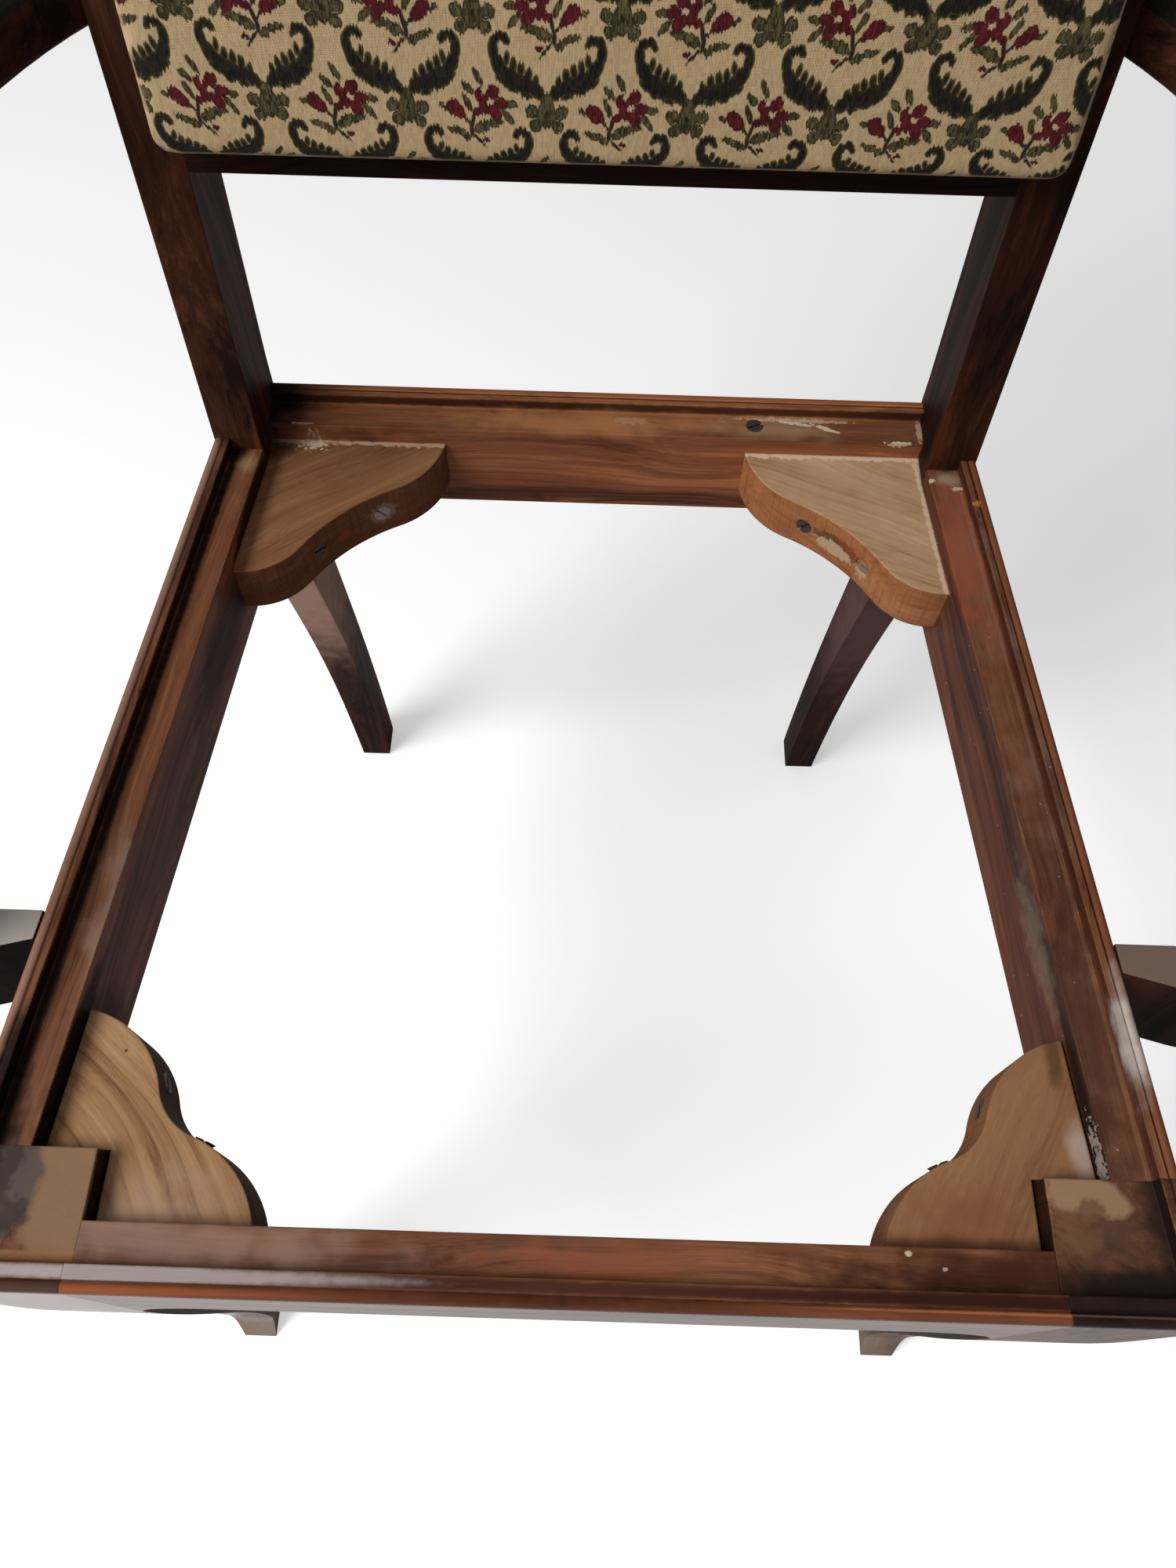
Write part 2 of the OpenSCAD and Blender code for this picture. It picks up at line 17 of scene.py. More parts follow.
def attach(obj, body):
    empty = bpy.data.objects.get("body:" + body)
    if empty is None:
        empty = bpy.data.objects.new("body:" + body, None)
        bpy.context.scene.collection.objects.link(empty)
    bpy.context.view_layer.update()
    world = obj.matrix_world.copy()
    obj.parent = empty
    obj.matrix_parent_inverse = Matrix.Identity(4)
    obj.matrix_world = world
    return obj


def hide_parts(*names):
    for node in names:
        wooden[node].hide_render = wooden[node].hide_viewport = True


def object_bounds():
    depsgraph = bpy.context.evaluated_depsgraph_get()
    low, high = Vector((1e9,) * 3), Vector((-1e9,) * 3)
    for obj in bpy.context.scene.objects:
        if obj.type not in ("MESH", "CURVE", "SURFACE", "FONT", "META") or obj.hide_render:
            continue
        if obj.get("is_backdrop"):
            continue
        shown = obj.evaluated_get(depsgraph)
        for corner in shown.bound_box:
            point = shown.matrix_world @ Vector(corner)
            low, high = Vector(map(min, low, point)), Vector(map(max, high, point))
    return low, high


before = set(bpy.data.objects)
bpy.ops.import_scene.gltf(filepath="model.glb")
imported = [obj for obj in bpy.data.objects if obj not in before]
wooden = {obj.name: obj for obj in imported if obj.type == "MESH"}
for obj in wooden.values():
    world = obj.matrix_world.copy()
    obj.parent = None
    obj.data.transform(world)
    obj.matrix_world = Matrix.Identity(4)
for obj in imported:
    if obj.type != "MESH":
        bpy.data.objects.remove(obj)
cad_low, cad_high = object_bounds()
MM = 0.001
print("CAD parts:", len(wooden), "size in mm:", [round(x / MM) for x in cad_high - cad_low])

# %% [markdown]
# ## Camera
#
# The view is from above and close to the front rail, as a person standing before the chair
# would see it. The lens and the three turns of the camera were worked out from the straight
# edges of the seat frame. The picture is upright, 1500 by 2000, so the 36 mm side of the
# sensor lies along its height.

# %% Camera
camera = bpy.data.objects.new("camera", bpy.data.cameras.new("camera"))
bpy.context.scene.collection.objects.link(camera)
FOCAL_PIXELS, PICTURE_HEIGHT, SENSOR = 1487.868, 2000, 36
camera.data.sensor_width = SENSOR
camera.data.lens = FOCAL_PIXELS / PICTURE_HEIGHT * SENSOR
pan, drop, roll = math.radians(0.225), math.radians(62.143), math.radians(1.597)
turned = Matrix.Rotation(pan, 4, "Z") @ Matrix.Rotation(math.pi / 2 - drop, 4, "X")
turned = turned @ Matrix.Rotation(roll, 4, "Z")
camera.matrix_world = Matrix.Translation((0.00305, -0.28265, 0.91687)) @ turned
bpy.context.scene.camera = camera
print("lens", round(camera.data.lens, 2), "mm, looking", [round(x, 3) for x in -turned.col[2].xyz])

# %% [markdown]
# ## Nodes in a few words
#
# Every finish below is built from shader nodes. A few small helpers keep that short. `node`
# adds a node and fills or links its inputs in order, and `fill` does so by name. `sums` and
# `moves` do arithmetic on numbers and vectors, with short names for the common ones. `blend`
# mixes two colours, and `step` turns a number into a soft step.


# %% Helpers for shader nodes
def feed(tree, socket, value):
    if isinstance(value, bpy.types.NodeSocket):
        tree.links.new(value, socket)
    else:
        socket.default_value = value


def node(tree, kind, *values, **settings):
    made = tree.nodes.new("ShaderNode" + kind)
    for name, value in settings.items():
        setattr(made, name, value)
    for socket, value in zip(made.inputs, values):
        if value is not None:
            feed(tree, socket, value)
    return made


def sums(tree, operation, *values):
    return node(tree, "Math", *values, operation=operation).outputs[0]


def moves(tree, operation, *values):
    made = node(tree, "VectorMath", *values, operation=operation)
    return made.outputs[1 if operation in ("LENGTH", "DOT_PRODUCT", "DISTANCE") else 0]


def times(tree, one, two):
    return sums(tree, "MULTIPLY", one, two)


def plus(tree, one, two):
    return sums(tree, "ADD", one, two)


def less(tree, one, two):
    return sums(tree, "SUBTRACT", one, two)


def scaled(tree, value, factor, added):
    return sums(tree, "MULTIPLY_ADD", value, factor, added)


def vector(tree, x, y, z):
    return node(tree, "CombineXYZ", x, y, z).outputs[0]


def dot(tree, one, two):
    return moves(tree, "DOT_PRODUCT", one, two)


def blend(tree, share, first, second, kind="MIX"):
    made = node(tree, "Mix", data_type="RGBA", blend_type=kind)
    feed(tree, made.inputs[0], share)
    feed(tree, made.inputs[6], first)
    feed(tree, made.inputs[7], second)
    return made.outputs[2]


def step(tree, value, low, high, out_low=0.0, out_high=1.0):
    made = node(tree, "MapRange", value, low, high, out_low, out_high, interpolation_type="SMOOTHSTEP")
    return made.outputs[0]


def noise(tree, where, scale, detail=3.0, rough=0.5):
    made = node(tree, "TexNoise")
    fill(tree, made, Vector=where, Scale=scale, Detail=detail, Roughness=rough)
    return made.outputs[0]


def stretch(tree, where, x, y, z):
    return moves(tree, "MULTIPLY", where, (x, y, z))


def paint(red, green, blue):
    """A colour as a paint chart gives it, 0 to 255, for a shader's linear light."""
    def linear(c):
        c /= 255
        return c / 12.92 if c <= 0.04045 else ((c + 0.055) / 1.055) ** 2.4
    return (linear(red), linear(green), linear(blue), 1.0)


def new_finish(name):
    material = bpy.data.materials.new(name)
    material.use_nodes = True
    tree = material.node_tree
    return material, tree, tree.nodes["Principled BSDF"]


def fill(tree, made, **values):
    """Sets or links a node's inputs by name; an underscore stands for a space."""
    for label, value in values.items():
        feed(tree, made.inputs[label.replace("_", " ")], value)


def relief(tree, strength, distance, height):
    made = node(tree, "Bump", strength, distance)
    fill(tree, made, Height=height)
    return made.outputs["Normal"]


def new_group(name, takes, gives):
    tree = bpy.data.node_groups.new(name, "ShaderNodeTree")
    for label, kind, value in takes:
        socket = tree.interface.new_socket(label, in_out="INPUT", socket_type="NodeSocket" + kind)
        if value is not None:
            socket.default_value = value
    for label, kind in gives:
        tree.interface.new_socket(label, in_out="OUTPUT", socket_type="NodeSocket" + kind)
    start, end = tree.nodes.new("NodeGroupInput"), tree.nodes.new("NodeGroupOutput")
    return tree, start.outputs, end.inputs


def place(tree, group, **values):
    made = tree.nodes.new("ShaderNodeGroup")
    made.node_tree = group
    fill(tree, made, **values)
    return made.outputs


print("a mid brown is", [round(x, 3) for x in paint(110, 70, 45)[:3]])

# %% [markdown]
# ## Grain
#
# Walnut has three scales of figure: broad dark and light streaks that run for most of a
# rail, finer ones a few millimetres apart, and short dark pores. An image of wood would
# have to be wrapped round every piece. Noise that is stretched along one axis gives the
# same figure right through the solid, so it also meets correctly at every edge. Growth
# lines are a saw-toothed ramp across the grain, bent by a slow noise. The group takes a
# position whose X axis runs along the grain.

# %% Group: wood grain
grain, takes, gives = new_group(
    "wood grain",
    [("Along", "Vector", None), ("Dark", "Color", paint(50, 28, 20)), ("Middle", "Color", paint(105, 66, 44)),
     ("Light", "Color", paint(150, 100, 65)), ("Figure", "Float", 1.0), ("Rings", "Float", 0.1),
     ("Ring gap", "Float", 0.006), ("Pores", "Float", 0.5), ("Arch", "Float", 0.0)],
    [("Color", "Color"), ("Height", "Float"), ("Tone", "Float")],
)
along = takes["Along"]
reach = node(grain, "SeparateXYZ", along).outputs[0]
crown = times(grain, times(grain, reach, reach), takes["Arch"])
along = moves(grain, "ADD", along, vector(grain, 0.0, crown, 0.0))
drift = noise(grain, stretch(grain, along, 4, 14, 14), 1, 2)
arch = scaled(grain, drift, 0.06, -0.03)
bent = moves(grain, "ADD", along, vector(grain, 0.0, arch, arch))
broad = noise(grain, stretch(grain, bent, 1.6, 45, 45), 1, 3, 0.55)
fine = noise(grain, stretch(grain, bent, 5, 260, 260), 1, 4, 0.6)
fibres = noise(grain, stretch(grain, bent, 24, 1400, 1400), 1, 2)
across = node(grain, "SeparateXYZ", bent).outputs
depth = scaled(grain, across[2], 0.35, across[1])
turns = sums(grain, "FRACT", sums(grain, "DIVIDE", depth, takes["Ring gap"]))
lines = times(grain, sums(grain, "POWER", turns, 4.0), step(grain, turns, 1.0, 0.9))
tone = scaled(grain, broad, 1.4, scaled(grain, fine, 0.7, -1.05))
tone = scaled(grain, tone, takes["Figure"], scaled(grain, fibres, 0.3, 0.35))
tone = less(grain, tone, times(grain, lines, takes["Rings"]))
colour = blend(grain, step(grain, tone, 0.2, 0.52), takes["Dark"], takes["Middle"])
colour = blend(grain, step(grain, tone, 0.48, 0.85), colour, takes["Light"])
pits = noise(grain, stretch(grain, along, 95, 1500, 1500), 1, 1)
pits = times(grain, step(grain, pits, 0.6, 0.72), takes["Pores"])
colour = blend(grain, times(grain, pits, 0.6), colour, takes["Dark"])
height = less(grain, times(grain, fibres, 0.25), pits)
feed(grain, gives["Color"], colour)
feed(grain, gives["Height"], height)
feed(grain, gives["Tone"], tone)
print("grain group:", len(grain.nodes), "nodes")

# %% [markdown]
# ## Worn edges
#
# Polish goes first where hands, cloths and the loose seat rub: on the sharp edges. The
# Bevel node looks up a rounded normal near an edge, and where it turns away from the true
# normal there is an edge. The same rounded normal also takes the razor edge off the solid.

# %% Group: worn edges
edges, takes, gives = new_group(
    "worn edges",
    [("Position", "Vector", None), ("Radius", "Float", 0.0012), ("Wear", "Float", 0.6)],
    [("Mask", "Float"), ("Normal", "Vector")],
)
rounded = node(edges, "Bevel", takes["Radius"], samples=6).outputs[0]
flat = node(edges, "NewGeometry").outputs["Normal"]
turn = less(edges, 1.0, dot(edges, rounded, flat))
rub = noise(edges, takes["Position"], 55, 4, 0.65)
found = times(edges, step(edges, turn, 0.02, 0.22), step(edges, rub, 0.38, 0.66))
feed(edges, gives["Mask"], times(edges, found, takes["Wear"]))
feed(edges, gives["Normal"], rounded)
print("edge group:", len(edges.nodes), "nodes")

# %% [markdown]
# ## Patches
#
# Some marks sit at one place only: a smear of glue, a bare corner, a pale ring round a
# screw. A patch is a ball-shaped mask, squeezed to a length, width and height, with its
# rim broken up by noise. A very long patch makes a line, such as the painted shade in the
# corner of the rebate. Patches also lay other painted light and shade, such as reflections
# and shadows.

# %% Group: a ragged patch
patch, takes, gives = new_group(
    "ragged patch",
    [("Position", "Vector", None), ("Centre", "Vector", (0, 0, 0)),
     ("Half size", "Vector", (0.01, 0.01, 0.01)), ("Turn", "Float", 0.0), ("Ragged", "Float", 0.25),
     ("Detail", "Float", 150.0), ("Soft", "Float", 0.4)],
    [("Mask", "Float")],
)
away = moves(patch, "SUBTRACT", takes["Position"], takes["Centre"])
away = node(patch, "VectorRotate", away, (0, 0, 0), (0, 0, 1), takes["Turn"]).outputs[0]
reach = moves(patch, "LENGTH", moves(patch, "DIVIDE", away, takes["Half size"]))
crumble = noise(patch, takes["Position"], takes["Detail"], 4)
rim = less(patch, crumble, 0.5)
rim = times(patch, rim, times(patch, takes["Ragged"], 6))
reach = plus(patch, reach, rim)
inside = step(patch, reach, 1.0, less(patch, 1.0, takes["Soft"]))
feed(patch, gives["Mask"], inside)
print("patch group:", len(patch.nodes), "nodes")

# %% [markdown]
# ## Dust and rubbing
#
# An opened-up seat frame is dusty where nobody polishes. The dust lies thinnest where it
# has been rubbed off, in cloudy patches, and it dulls the polish as well as the colour. It
# settles on faces that look up.

# %% Group: dust
dust, takes, gives = new_group(
    "dust",
    [("Position", "Vector", None), ("Amount", "Float", 0.3), ("Size", "Float", 30.0)],
    [("Mask", "Float"), ("Specks", "Float")],
)
cloud = noise(dust, takes["Position"], takes["Size"], 6, 0.62)
upward = node(dust, "SeparateXYZ", node(dust, "NewGeometry").outputs["Normal"]).outputs[2]
settled = times(dust, step(dust, cloud, 0.35, 0.75), step(dust, upward, -0.2, 0.8, 0.25, 1.0))
feed(dust, gives["Mask"], times(dust, settled, takes["Amount"]))
crumbs = node(dust, "TexVoronoi")
fill(dust, crumbs, Vector=takes["Position"], Scale=300)
strewn = step(dust, noise(dust, takes["Position"], 160, 1), 0.6, 0.72)
speck = times(dust, step(dust, crumbs.outputs["Distance"], 0.2, 0.1), strewn)
feed(dust, gives["Specks"], speck)
print("dust group:", len(dust.nodes), "nodes")

# %% [markdown]
# ## The wood finish
#
# One function turns these groups into a finish. Each piece of timber gets its own grain
# direction and its own cut from the board, so no two rails repeat. `faces` are tints by the
# way a face looks, and they are painted light and shade: they make a face lighter or darker
# by where it turns. A veil lays pale painted light over faces that look one way. `gloss` is a
# thin coat of polish on the show side, and `gleam` the shine of the bare wood. `marks` are
# patches in a colour.


# %% A wooden finish
def looking(tree, direction, low=0.3, high=0.75, most=1.0):
    """How far a face looks along a direction, as a soft step from 0 to most."""
    normal = node(tree, "NewGeometry").outputs["Normal"]
    return step(tree, dot(tree, normal, direction), low, high, 0.0, most)


def sawn(tree, where, colour, shade, strength):
    """Dark upright saw marks on the faces that stand."""
    normal = node(tree, "NewGeometry").outputs["Normal"]
    upright = step(tree, sums(tree, "ABSOLUTE", dot(tree, normal, (0, 0, 1))), 0.5, 0.2)
    cuts = step(tree, noise(tree, stretch(tree, where, 900, 900, 30), 1, 2), 0.45, 0.68)
    return blend(tree, times(tree, times(tree, cuts, upright), strength), colour, shade)


def marked(tree, where, colour, rough, marks):
    """Lays patches of colour one after the other. Each also dulls the polish a little."""
    for centre, half, shade, strength, more in marks:
        found = place(tree, patch, Position=where, Centre=[c * MM for c in centre],
                      Half_size=[h * MM for h in half], **more)
        found = times(tree, found["Mask"], strength)
        colour = blend(tree, found, colour, paint(*shade))
        rough = plus(tree, rough, times(tree, found, 0.2))
    return colour, rough


def timber(name, dark, middle, light, turn=(0, 0, 0), cut=(0, 0, 0), figure=1.0, rings=0.1, ring_gap=0.006,
           arch=0.0, pores=0.5, polish=0.5, gleam=0.18, gloss=None, saw=0.0, wear=0.5, worn=(150, 105, 75),
           edge=0.0012, dusty=0.15, dust_colour=(150, 128, 108), specks=0.0, faces=(), veils=(), marks=()):
    material, tree, shader = new_finish(name)
    where = node(tree, "TexCoord").outputs["Object"]
    spun = node(tree, "Mapping", where, cut, [math.radians(a) for a in turn]).outputs[0]
    wood = place(tree, grain, Along=spun, Dark=paint(*dark), Middle=paint(*middle), Light=paint(*light),
                 Figure=figure, Rings=rings, Ring_gap=ring_gap, Pores=pores, Arch=arch)
    rim = place(tree, edges, Position=where, Radius=edge, Wear=wear)
    dirt = place(tree, dust, Position=where, Amount=dusty)
    colour = wood["Color"]
    if saw:
        colour = sawn(tree, where, colour, paint(*dark), saw)
    # Painted light and shade: tints and veils by the way a face looks.
    for direction, tint in faces:
        colour = blend(tree, looking(tree, direction), colour, (*tint, 1), "MULTIPLY")
    for direction, shade, strength in veils:
        colour = blend(tree, looking(tree, direction, most=strength), colour, paint(*shade))
    colour = blend(tree, rim["Mask"], colour, paint(*worn))
    colour = blend(tree, dirt["Mask"], colour, paint(*dust_colour))
    if specks:
        colour = blend(tree, times(tree, dirt["Specks"], specks), colour, paint(214, 196, 178))
    rough = scaled(tree, wood["Tone"], -0.12, polish + 0.06)
    rough = plus(tree, rough, times(tree, dirt["Mask"], 0.5))
    colour, rough = marked(tree, where, colour, rough, marks)
    bump = node(tree, "Bump", 0.35, 0.00025)
    fill(tree, bump, Height=wood["Height"], Normal=rim["Normal"])
    fill(tree, shader, Base_Color=colour, Roughness=sums(tree, "MINIMUM", rough, 0.95),
         Specular_IOR_Level=gleam, Normal=bump.outputs[0])
    if gloss:
        show_side, weight, softness = gloss
        shown = times(tree, looking(tree, show_side, 0.2, 0.7), weight)
        fill(tree, shader, Coat_Weight=shown, Coat_Roughness=softness)
    return material


def dress(piece, material):
    thing = wooden.get(piece) or piece
    if not len(thing.material_slots):
        thing.data.materials.append(material)
    for slot in thing.material_slots:
        slot.material = material


print("finish ready; it takes", timber.__code__.co_argcount, "settings")

# %% [markdown]
# ## Seat rails
#
# The rails are reddish walnut, French polished on the lip and left duller on the ledge and
# the inside, where the loose seat covers them. The lip's bead has worn to orange, and dark
# lines of painted shade lie in the quirk beside it and in the corner of the rebate. Grain
# runs along each rail, so the side rails turn by the frame's taper of five degrees. The marks
# are where they are on this chair: glue along the rear ledge, black stain in its left corner,
# dust on the right. Other marks and face tints are painted light and shade: pale reflections
# on the lip at the front left and on the right, an orange reflection on the front of the left
# ledge, highlights on the bead and the right ledge's edge, the shadow of the lip and of the
# left arm support on the left rail, and near-black shade on the rails' inner faces beside the
# corner blocks. Each mark gives a centre, a half size, a colour and its strength, in
# millimetres, and then how ragged or soft its rim is.

# %% Seat rails
TAPER_ANGLE = 84.87
TAPER = math.radians(TAPER_ANGLE)
EVEN = dict(Ragged=0.05, Soft=0.6)
BLOTCHY = dict(Ragged=0.3, Detail=60.0, Soft=0.9)
BROKEN = dict(Ragged=0.35, Detail=420.0, Soft=0.3)
# A soft rim, used for stains and for marks of painted light and shade.
STAINED = dict(Ragged=0.1, Detail=80.0, Soft=0.6)
# A soot-dark colour, used for dirt specks and for painted shade in quirks, rebate corners and gaps.
SOOT, GLUE = (30, 18, 14), (206, 190, 162)
rail_look = dict(dark=(58, 31, 20), middle=(108, 65, 42), light=(150, 97, 61), polish=0.5, gleam=0.11,
                 worn=(160, 110, 74), dust_colour=(142, 112, 90), dusty=0.15)


def line(x, y, z, wide, tall, shade, strength, turn=0.0, **more):
    """A mark that runs the whole length of a rail."""
    return ((x, y, z), (1500, wide, tall), shade, strength, dict(EVEN, Turn=turn, **more))


front_marks = [
    line(0, -245.2, 440, 3.2, 2, (62, 30, 23), 0.85),
    # Painted reflection: the pale grey on the lip at the left.
    ((-230, -245.2, 440.2), (200, 4.2, 3.6), (160, 146, 144), 0.95, dict(EVEN, Soft=0.4)),
    ((190, -245.2, 440), (170, 4, 2.6), (50, 24, 17), 0.95, dict(EVEN, Soft=0.6)),
    line(0, -250.4, 438, 3.2, 4.2, (118, 64, 38), 0.75),
    ((-10, -250.4, 438), (150, 3.8, 4.6), (40, 13, 7), 0.95, dict(EVEN, Soft=0.9)),
    # Painted shade in the quirk beside the bead.
    line(0, -248.2, 439.8, 0.6, 1.5, SOOT, 0.4),
    ((-190, -251, 438), (130, 2.3, 5), (150, 80, 44), 0.7, dict(EVEN, Soft=0.6)),
    # Painted highlight: a thin bright line along the bead at the right.
    ((170, -249.4, 439.4), (110, 0.8, 1.6), (196, 120, 78), 0.6, EVEN),
    # Painted shade in the corner of the rebate, at the foot of the lip.
    line(0, -242, 433, 1.1, 1.5, SOOT, 0.7),
    ((-150, -233, 432), (110, 16, 6), (152, 122, 108), 0.6, BLOTCHY),
    ((10, -235, 432), (80, 12, 5), (150, 86, 60), 0.5, BLOTCHY),
    ((180, -236, 432), (130, 14, 6), (60, 30, 20), 0.85, BLOTCHY),
    ((132.9, -228.5, 432), (1.6, 1.4, 1.5), GLUE, 0.8, BROKEN),
    ((146.3, -233.7, 432), (1.2, 1.0, 1.5), GLUE, 0.6, BROKEN),
]
rear_marks = [
    line(0, 217.2, 438, 3.2, 4.2, (146, 82, 44), 0.55),
    # Painted shade in the quirk beside the bead.
    line(0, 214.6, 439.8, 0.9, 1.6, SOOT, 0.85),
    line(0, 211.6, 436, 1.8, 4.4, (38, 20, 13), 0.9),
    ((-10, 200, 432), (90, 16, 6), (172, 118, 74), 0.65, BLOTCHY),
    ((104, 202, 432), (46, 13, 4), (152, 126, 98), 0.5, BLOTCHY),
    ((112, 209.6, 432), (34, 1.7, 2), (188, 168, 138), 0.7, BROKEN),
    ((128, 204.5, 432), (10, 1.3, 2), GLUE, 0.85, dict(BROKEN, Turn=0.35)),
    ((114, 207, 432), (14, 1.2, 2), GLUE, 0.8, dict(BROKEN, Turn=0.15)),
    ((181.5, 203, 432), (2.0, 9, 2), (190, 168, 138), 0.6, BROKEN),
    ((170, 194.6, 431.5), (8, 1.6, 2.6), GLUE, 0.85, BROKEN),
    ((21, 205.5, 432), (11, 3, 2), (176, 144, 112), 0.45, BROKEN),
    ((-29.6, 192.8, 432), (0.9, 0.9, 2), SOOT, 0.9, EVEN),
    ((-188, 214, 434), (36, 34, 34), (14, 9, 8), 0.97, STAINED),
    ((-159, 193, 425), (5, 3, 5), (216, 196, 170), 0.5, dict(BROKEN, Ragged=0.5)),
    ((-140, 193, 426), (62, 6, 9), (64, 38, 28), 0.7, BLOTCHY),
    ((-164, 196.2, 432), (9, 0.8, 1.5), GLUE, 0.4, BROKEN),
]
left_marks = [
    # The pale bead on the left rail: worn wood, lightened further with painted light.
    line(-224.6, -38.5, 438.5, 3, 4.2, (160, 124, 106), 0.6, -TAPER),
    # Painted shade in the quirk beside the bead.
    line(-222.3, -38.5, 439.8, 0.9, 1.6, SOOT, 0.8, -TAPER),
    # Painted shadow: the lip's inner wall in shade and the shadow it casts on the ledge.
    line(-216.6, -38.5, 435.2, 4.2, 5.2, (30, 18, 14), 0.95, -TAPER, Soft=0.4),
    ((-192, 80, 405), (26, 80, 27), (34, 22, 18), 0.6, STAINED),
    # Painted shade: near black on the rail's inner face above the front block.
    ((-208, -190, 424), (24, 84, 9.5), (14, 9, 8), 0.96, dict(Ragged=0.04, Soft=0.3)),
    # Painted shadow of the left arm support on the front of the lip.
    ((-228.5, -195, 438), (12, 62, 9), (14, 9, 8), 0.93, dict(STAINED, Soft=0.4)),
    # Painted reflection: orange-brown on the front of the ledge.
    ((-210, -205, 432), (10, 56, 2), (166, 104, 66), 0.75, BLOTCHY),
    ((-207, -100, 432), (11, 60, 2), (152, 124, 108), 0.55, BLOTCHY),
    # Painted shade: near black on the rail's inner face above the rear block.
    ((-188, 150, 422), (16, 50, 10.5), (18, 11, 9), 0.9, dict(Ragged=0.04, Soft=0.3)),
    ((-190, 164, 432), (9, 10, 3), (176, 148, 118), 0.5, BLOTCHY),
    ((-198, 176, 420), (14, 12, 40), (16, 10, 9), 0.9, STAINED),
    # Painted shade: near black low on the rail's inner face beside the front block.
    ((-206, -170, 400), (60, 62, 31), (18, 12, 10), 0.9, STAINED),
]
right_marks = [
    line(224.6, -38.5, 438.5, 3, 4.2, (118, 64, 38), 0.65, TAPER),
    ((196, 120, 432), (26, 70, 4), (146, 80, 58), 0.75, BLOTCHY),
    ((224, -150, 432), (16, 80, 4), (62, 38, 30), 0.6, BLOTCHY),
    ((207, -95, 418), (8, 60, 14), (128, 112, 96), 0.55, dict(BLOTCHY, Detail=120.0)),
    # Painted shade in the quirk beside the bead.
    line(222.3, -38.5, 439.8, 0.8, 1.6, SOOT, 0.8, TAPER),
    line(218.4, -38.5, 437, 1.2, 3.4, (60, 34, 25), 0.7, TAPER),
    # A pale line along the ledge's outer edge: worn dust, with a painted highlight.
    line(217.4, -38.5, 432.4, 1.1, 1.0, (150, 118, 92), 0.3, TAPER, Detail=300.0),
    ((194, 170, 432), (12, 7, 3), (172, 146, 122), 0.6, BLOTCHY),
    ((184.6, 168, 432), (2.2, 1.6, 2), GLUE, 0.8, BROKEN),
    ((197.8, 162.5, 432), (3, 1.8, 2), GLUE, 0.7, BROKEN),
    ((204.7, 145.8, 439), (2.6, 2.6, 3), (176, 124, 72), 0.8, BROKEN),
    # Painted reflection: whitish on the lip.
    ((232, -140, 438), (8, 44, 6), (198, 188, 180), 0.8, BLOTCHY),
    # Painted shade: this mark and the next darken the gap beside the front block.
    ((214.5, -178, 426.5), (66, 3.4, 8), (34, 21, 17), 0.93, dict(STAINED, Turn=TAPER)),
    ((208, -150, 425), (4, 26, 10), SOOT, 0.75, BLOTCHY),
    ((215, -120, 432), (14, 120, 5), (84, 52, 42), 0.6, BLOTCHY),
    ((216.6, -196, 426), (22, 1.5, 5), (170, 154, 146), 0.7, dict(BROKEN, Turn=TAPER, Ragged=0.5)),
]
show = {"left": 0.8, "middle": 0.52, "right": 0.27}
POLISHED, FRONT = 0.16, (0, -1, 0)
dress("front_rail", timber(
    "front rail walnut", cut=(0.1, 0.31, 0.02), gloss=(FRONT, show["middle"], POLISHED), marks=front_marks,
    **rail_look))
# Painted light: the rear rail's faces that look to the front are tinted lighter.
dress("rear_rail", timber(
    "rear rail walnut", cut=(0.37, 0.1, 0.2), marks=rear_marks, faces=[(FRONT, (1.75, 1.65, 1.65))],
    **rail_look))
# Painted light: the left rail's inner face is tinted lighter and redder.
dress("side_rail_left", timber(
    "left rail walnut", turn=(0, 0, -TAPER_ANGLE), cut=(0, 0.2, 0.4), marks=left_marks,
    faces=[((1, 0, 0), (1.22, 0.96, 0.98))], **rail_look))
# Painted shade: the right rail's inner face is tinted darker.
right_look = dict(rail_look, dust_colour=(160, 130, 112), dusty=0.25, specks=0.5,
                  faces=[((-1, 0, 0), (0.7, 0.53, 0.55))])
dress("side_rail_right", timber(
    "right rail walnut", turn=(0, 0, TAPER_ANGLE - 180), cut=(0.3, 0.1, 0.7), marks=right_marks,
    **right_look))

# %% [markdown]
# ## Legs, posts, arms and back rails
#
# The back posts and the arms were stained almost black. The front legs match the rails,
# but their tops stand bare in the corners of the seat, where old finish has flaked off, and
# the faces in the blocks' notches are painted black as shade. Painted light and shade also
# lie on the posts, arms and supports as tints by the way a face looks, as pale patches low on
# the back legs, and as a pale reflection on the lip of the left front leg.

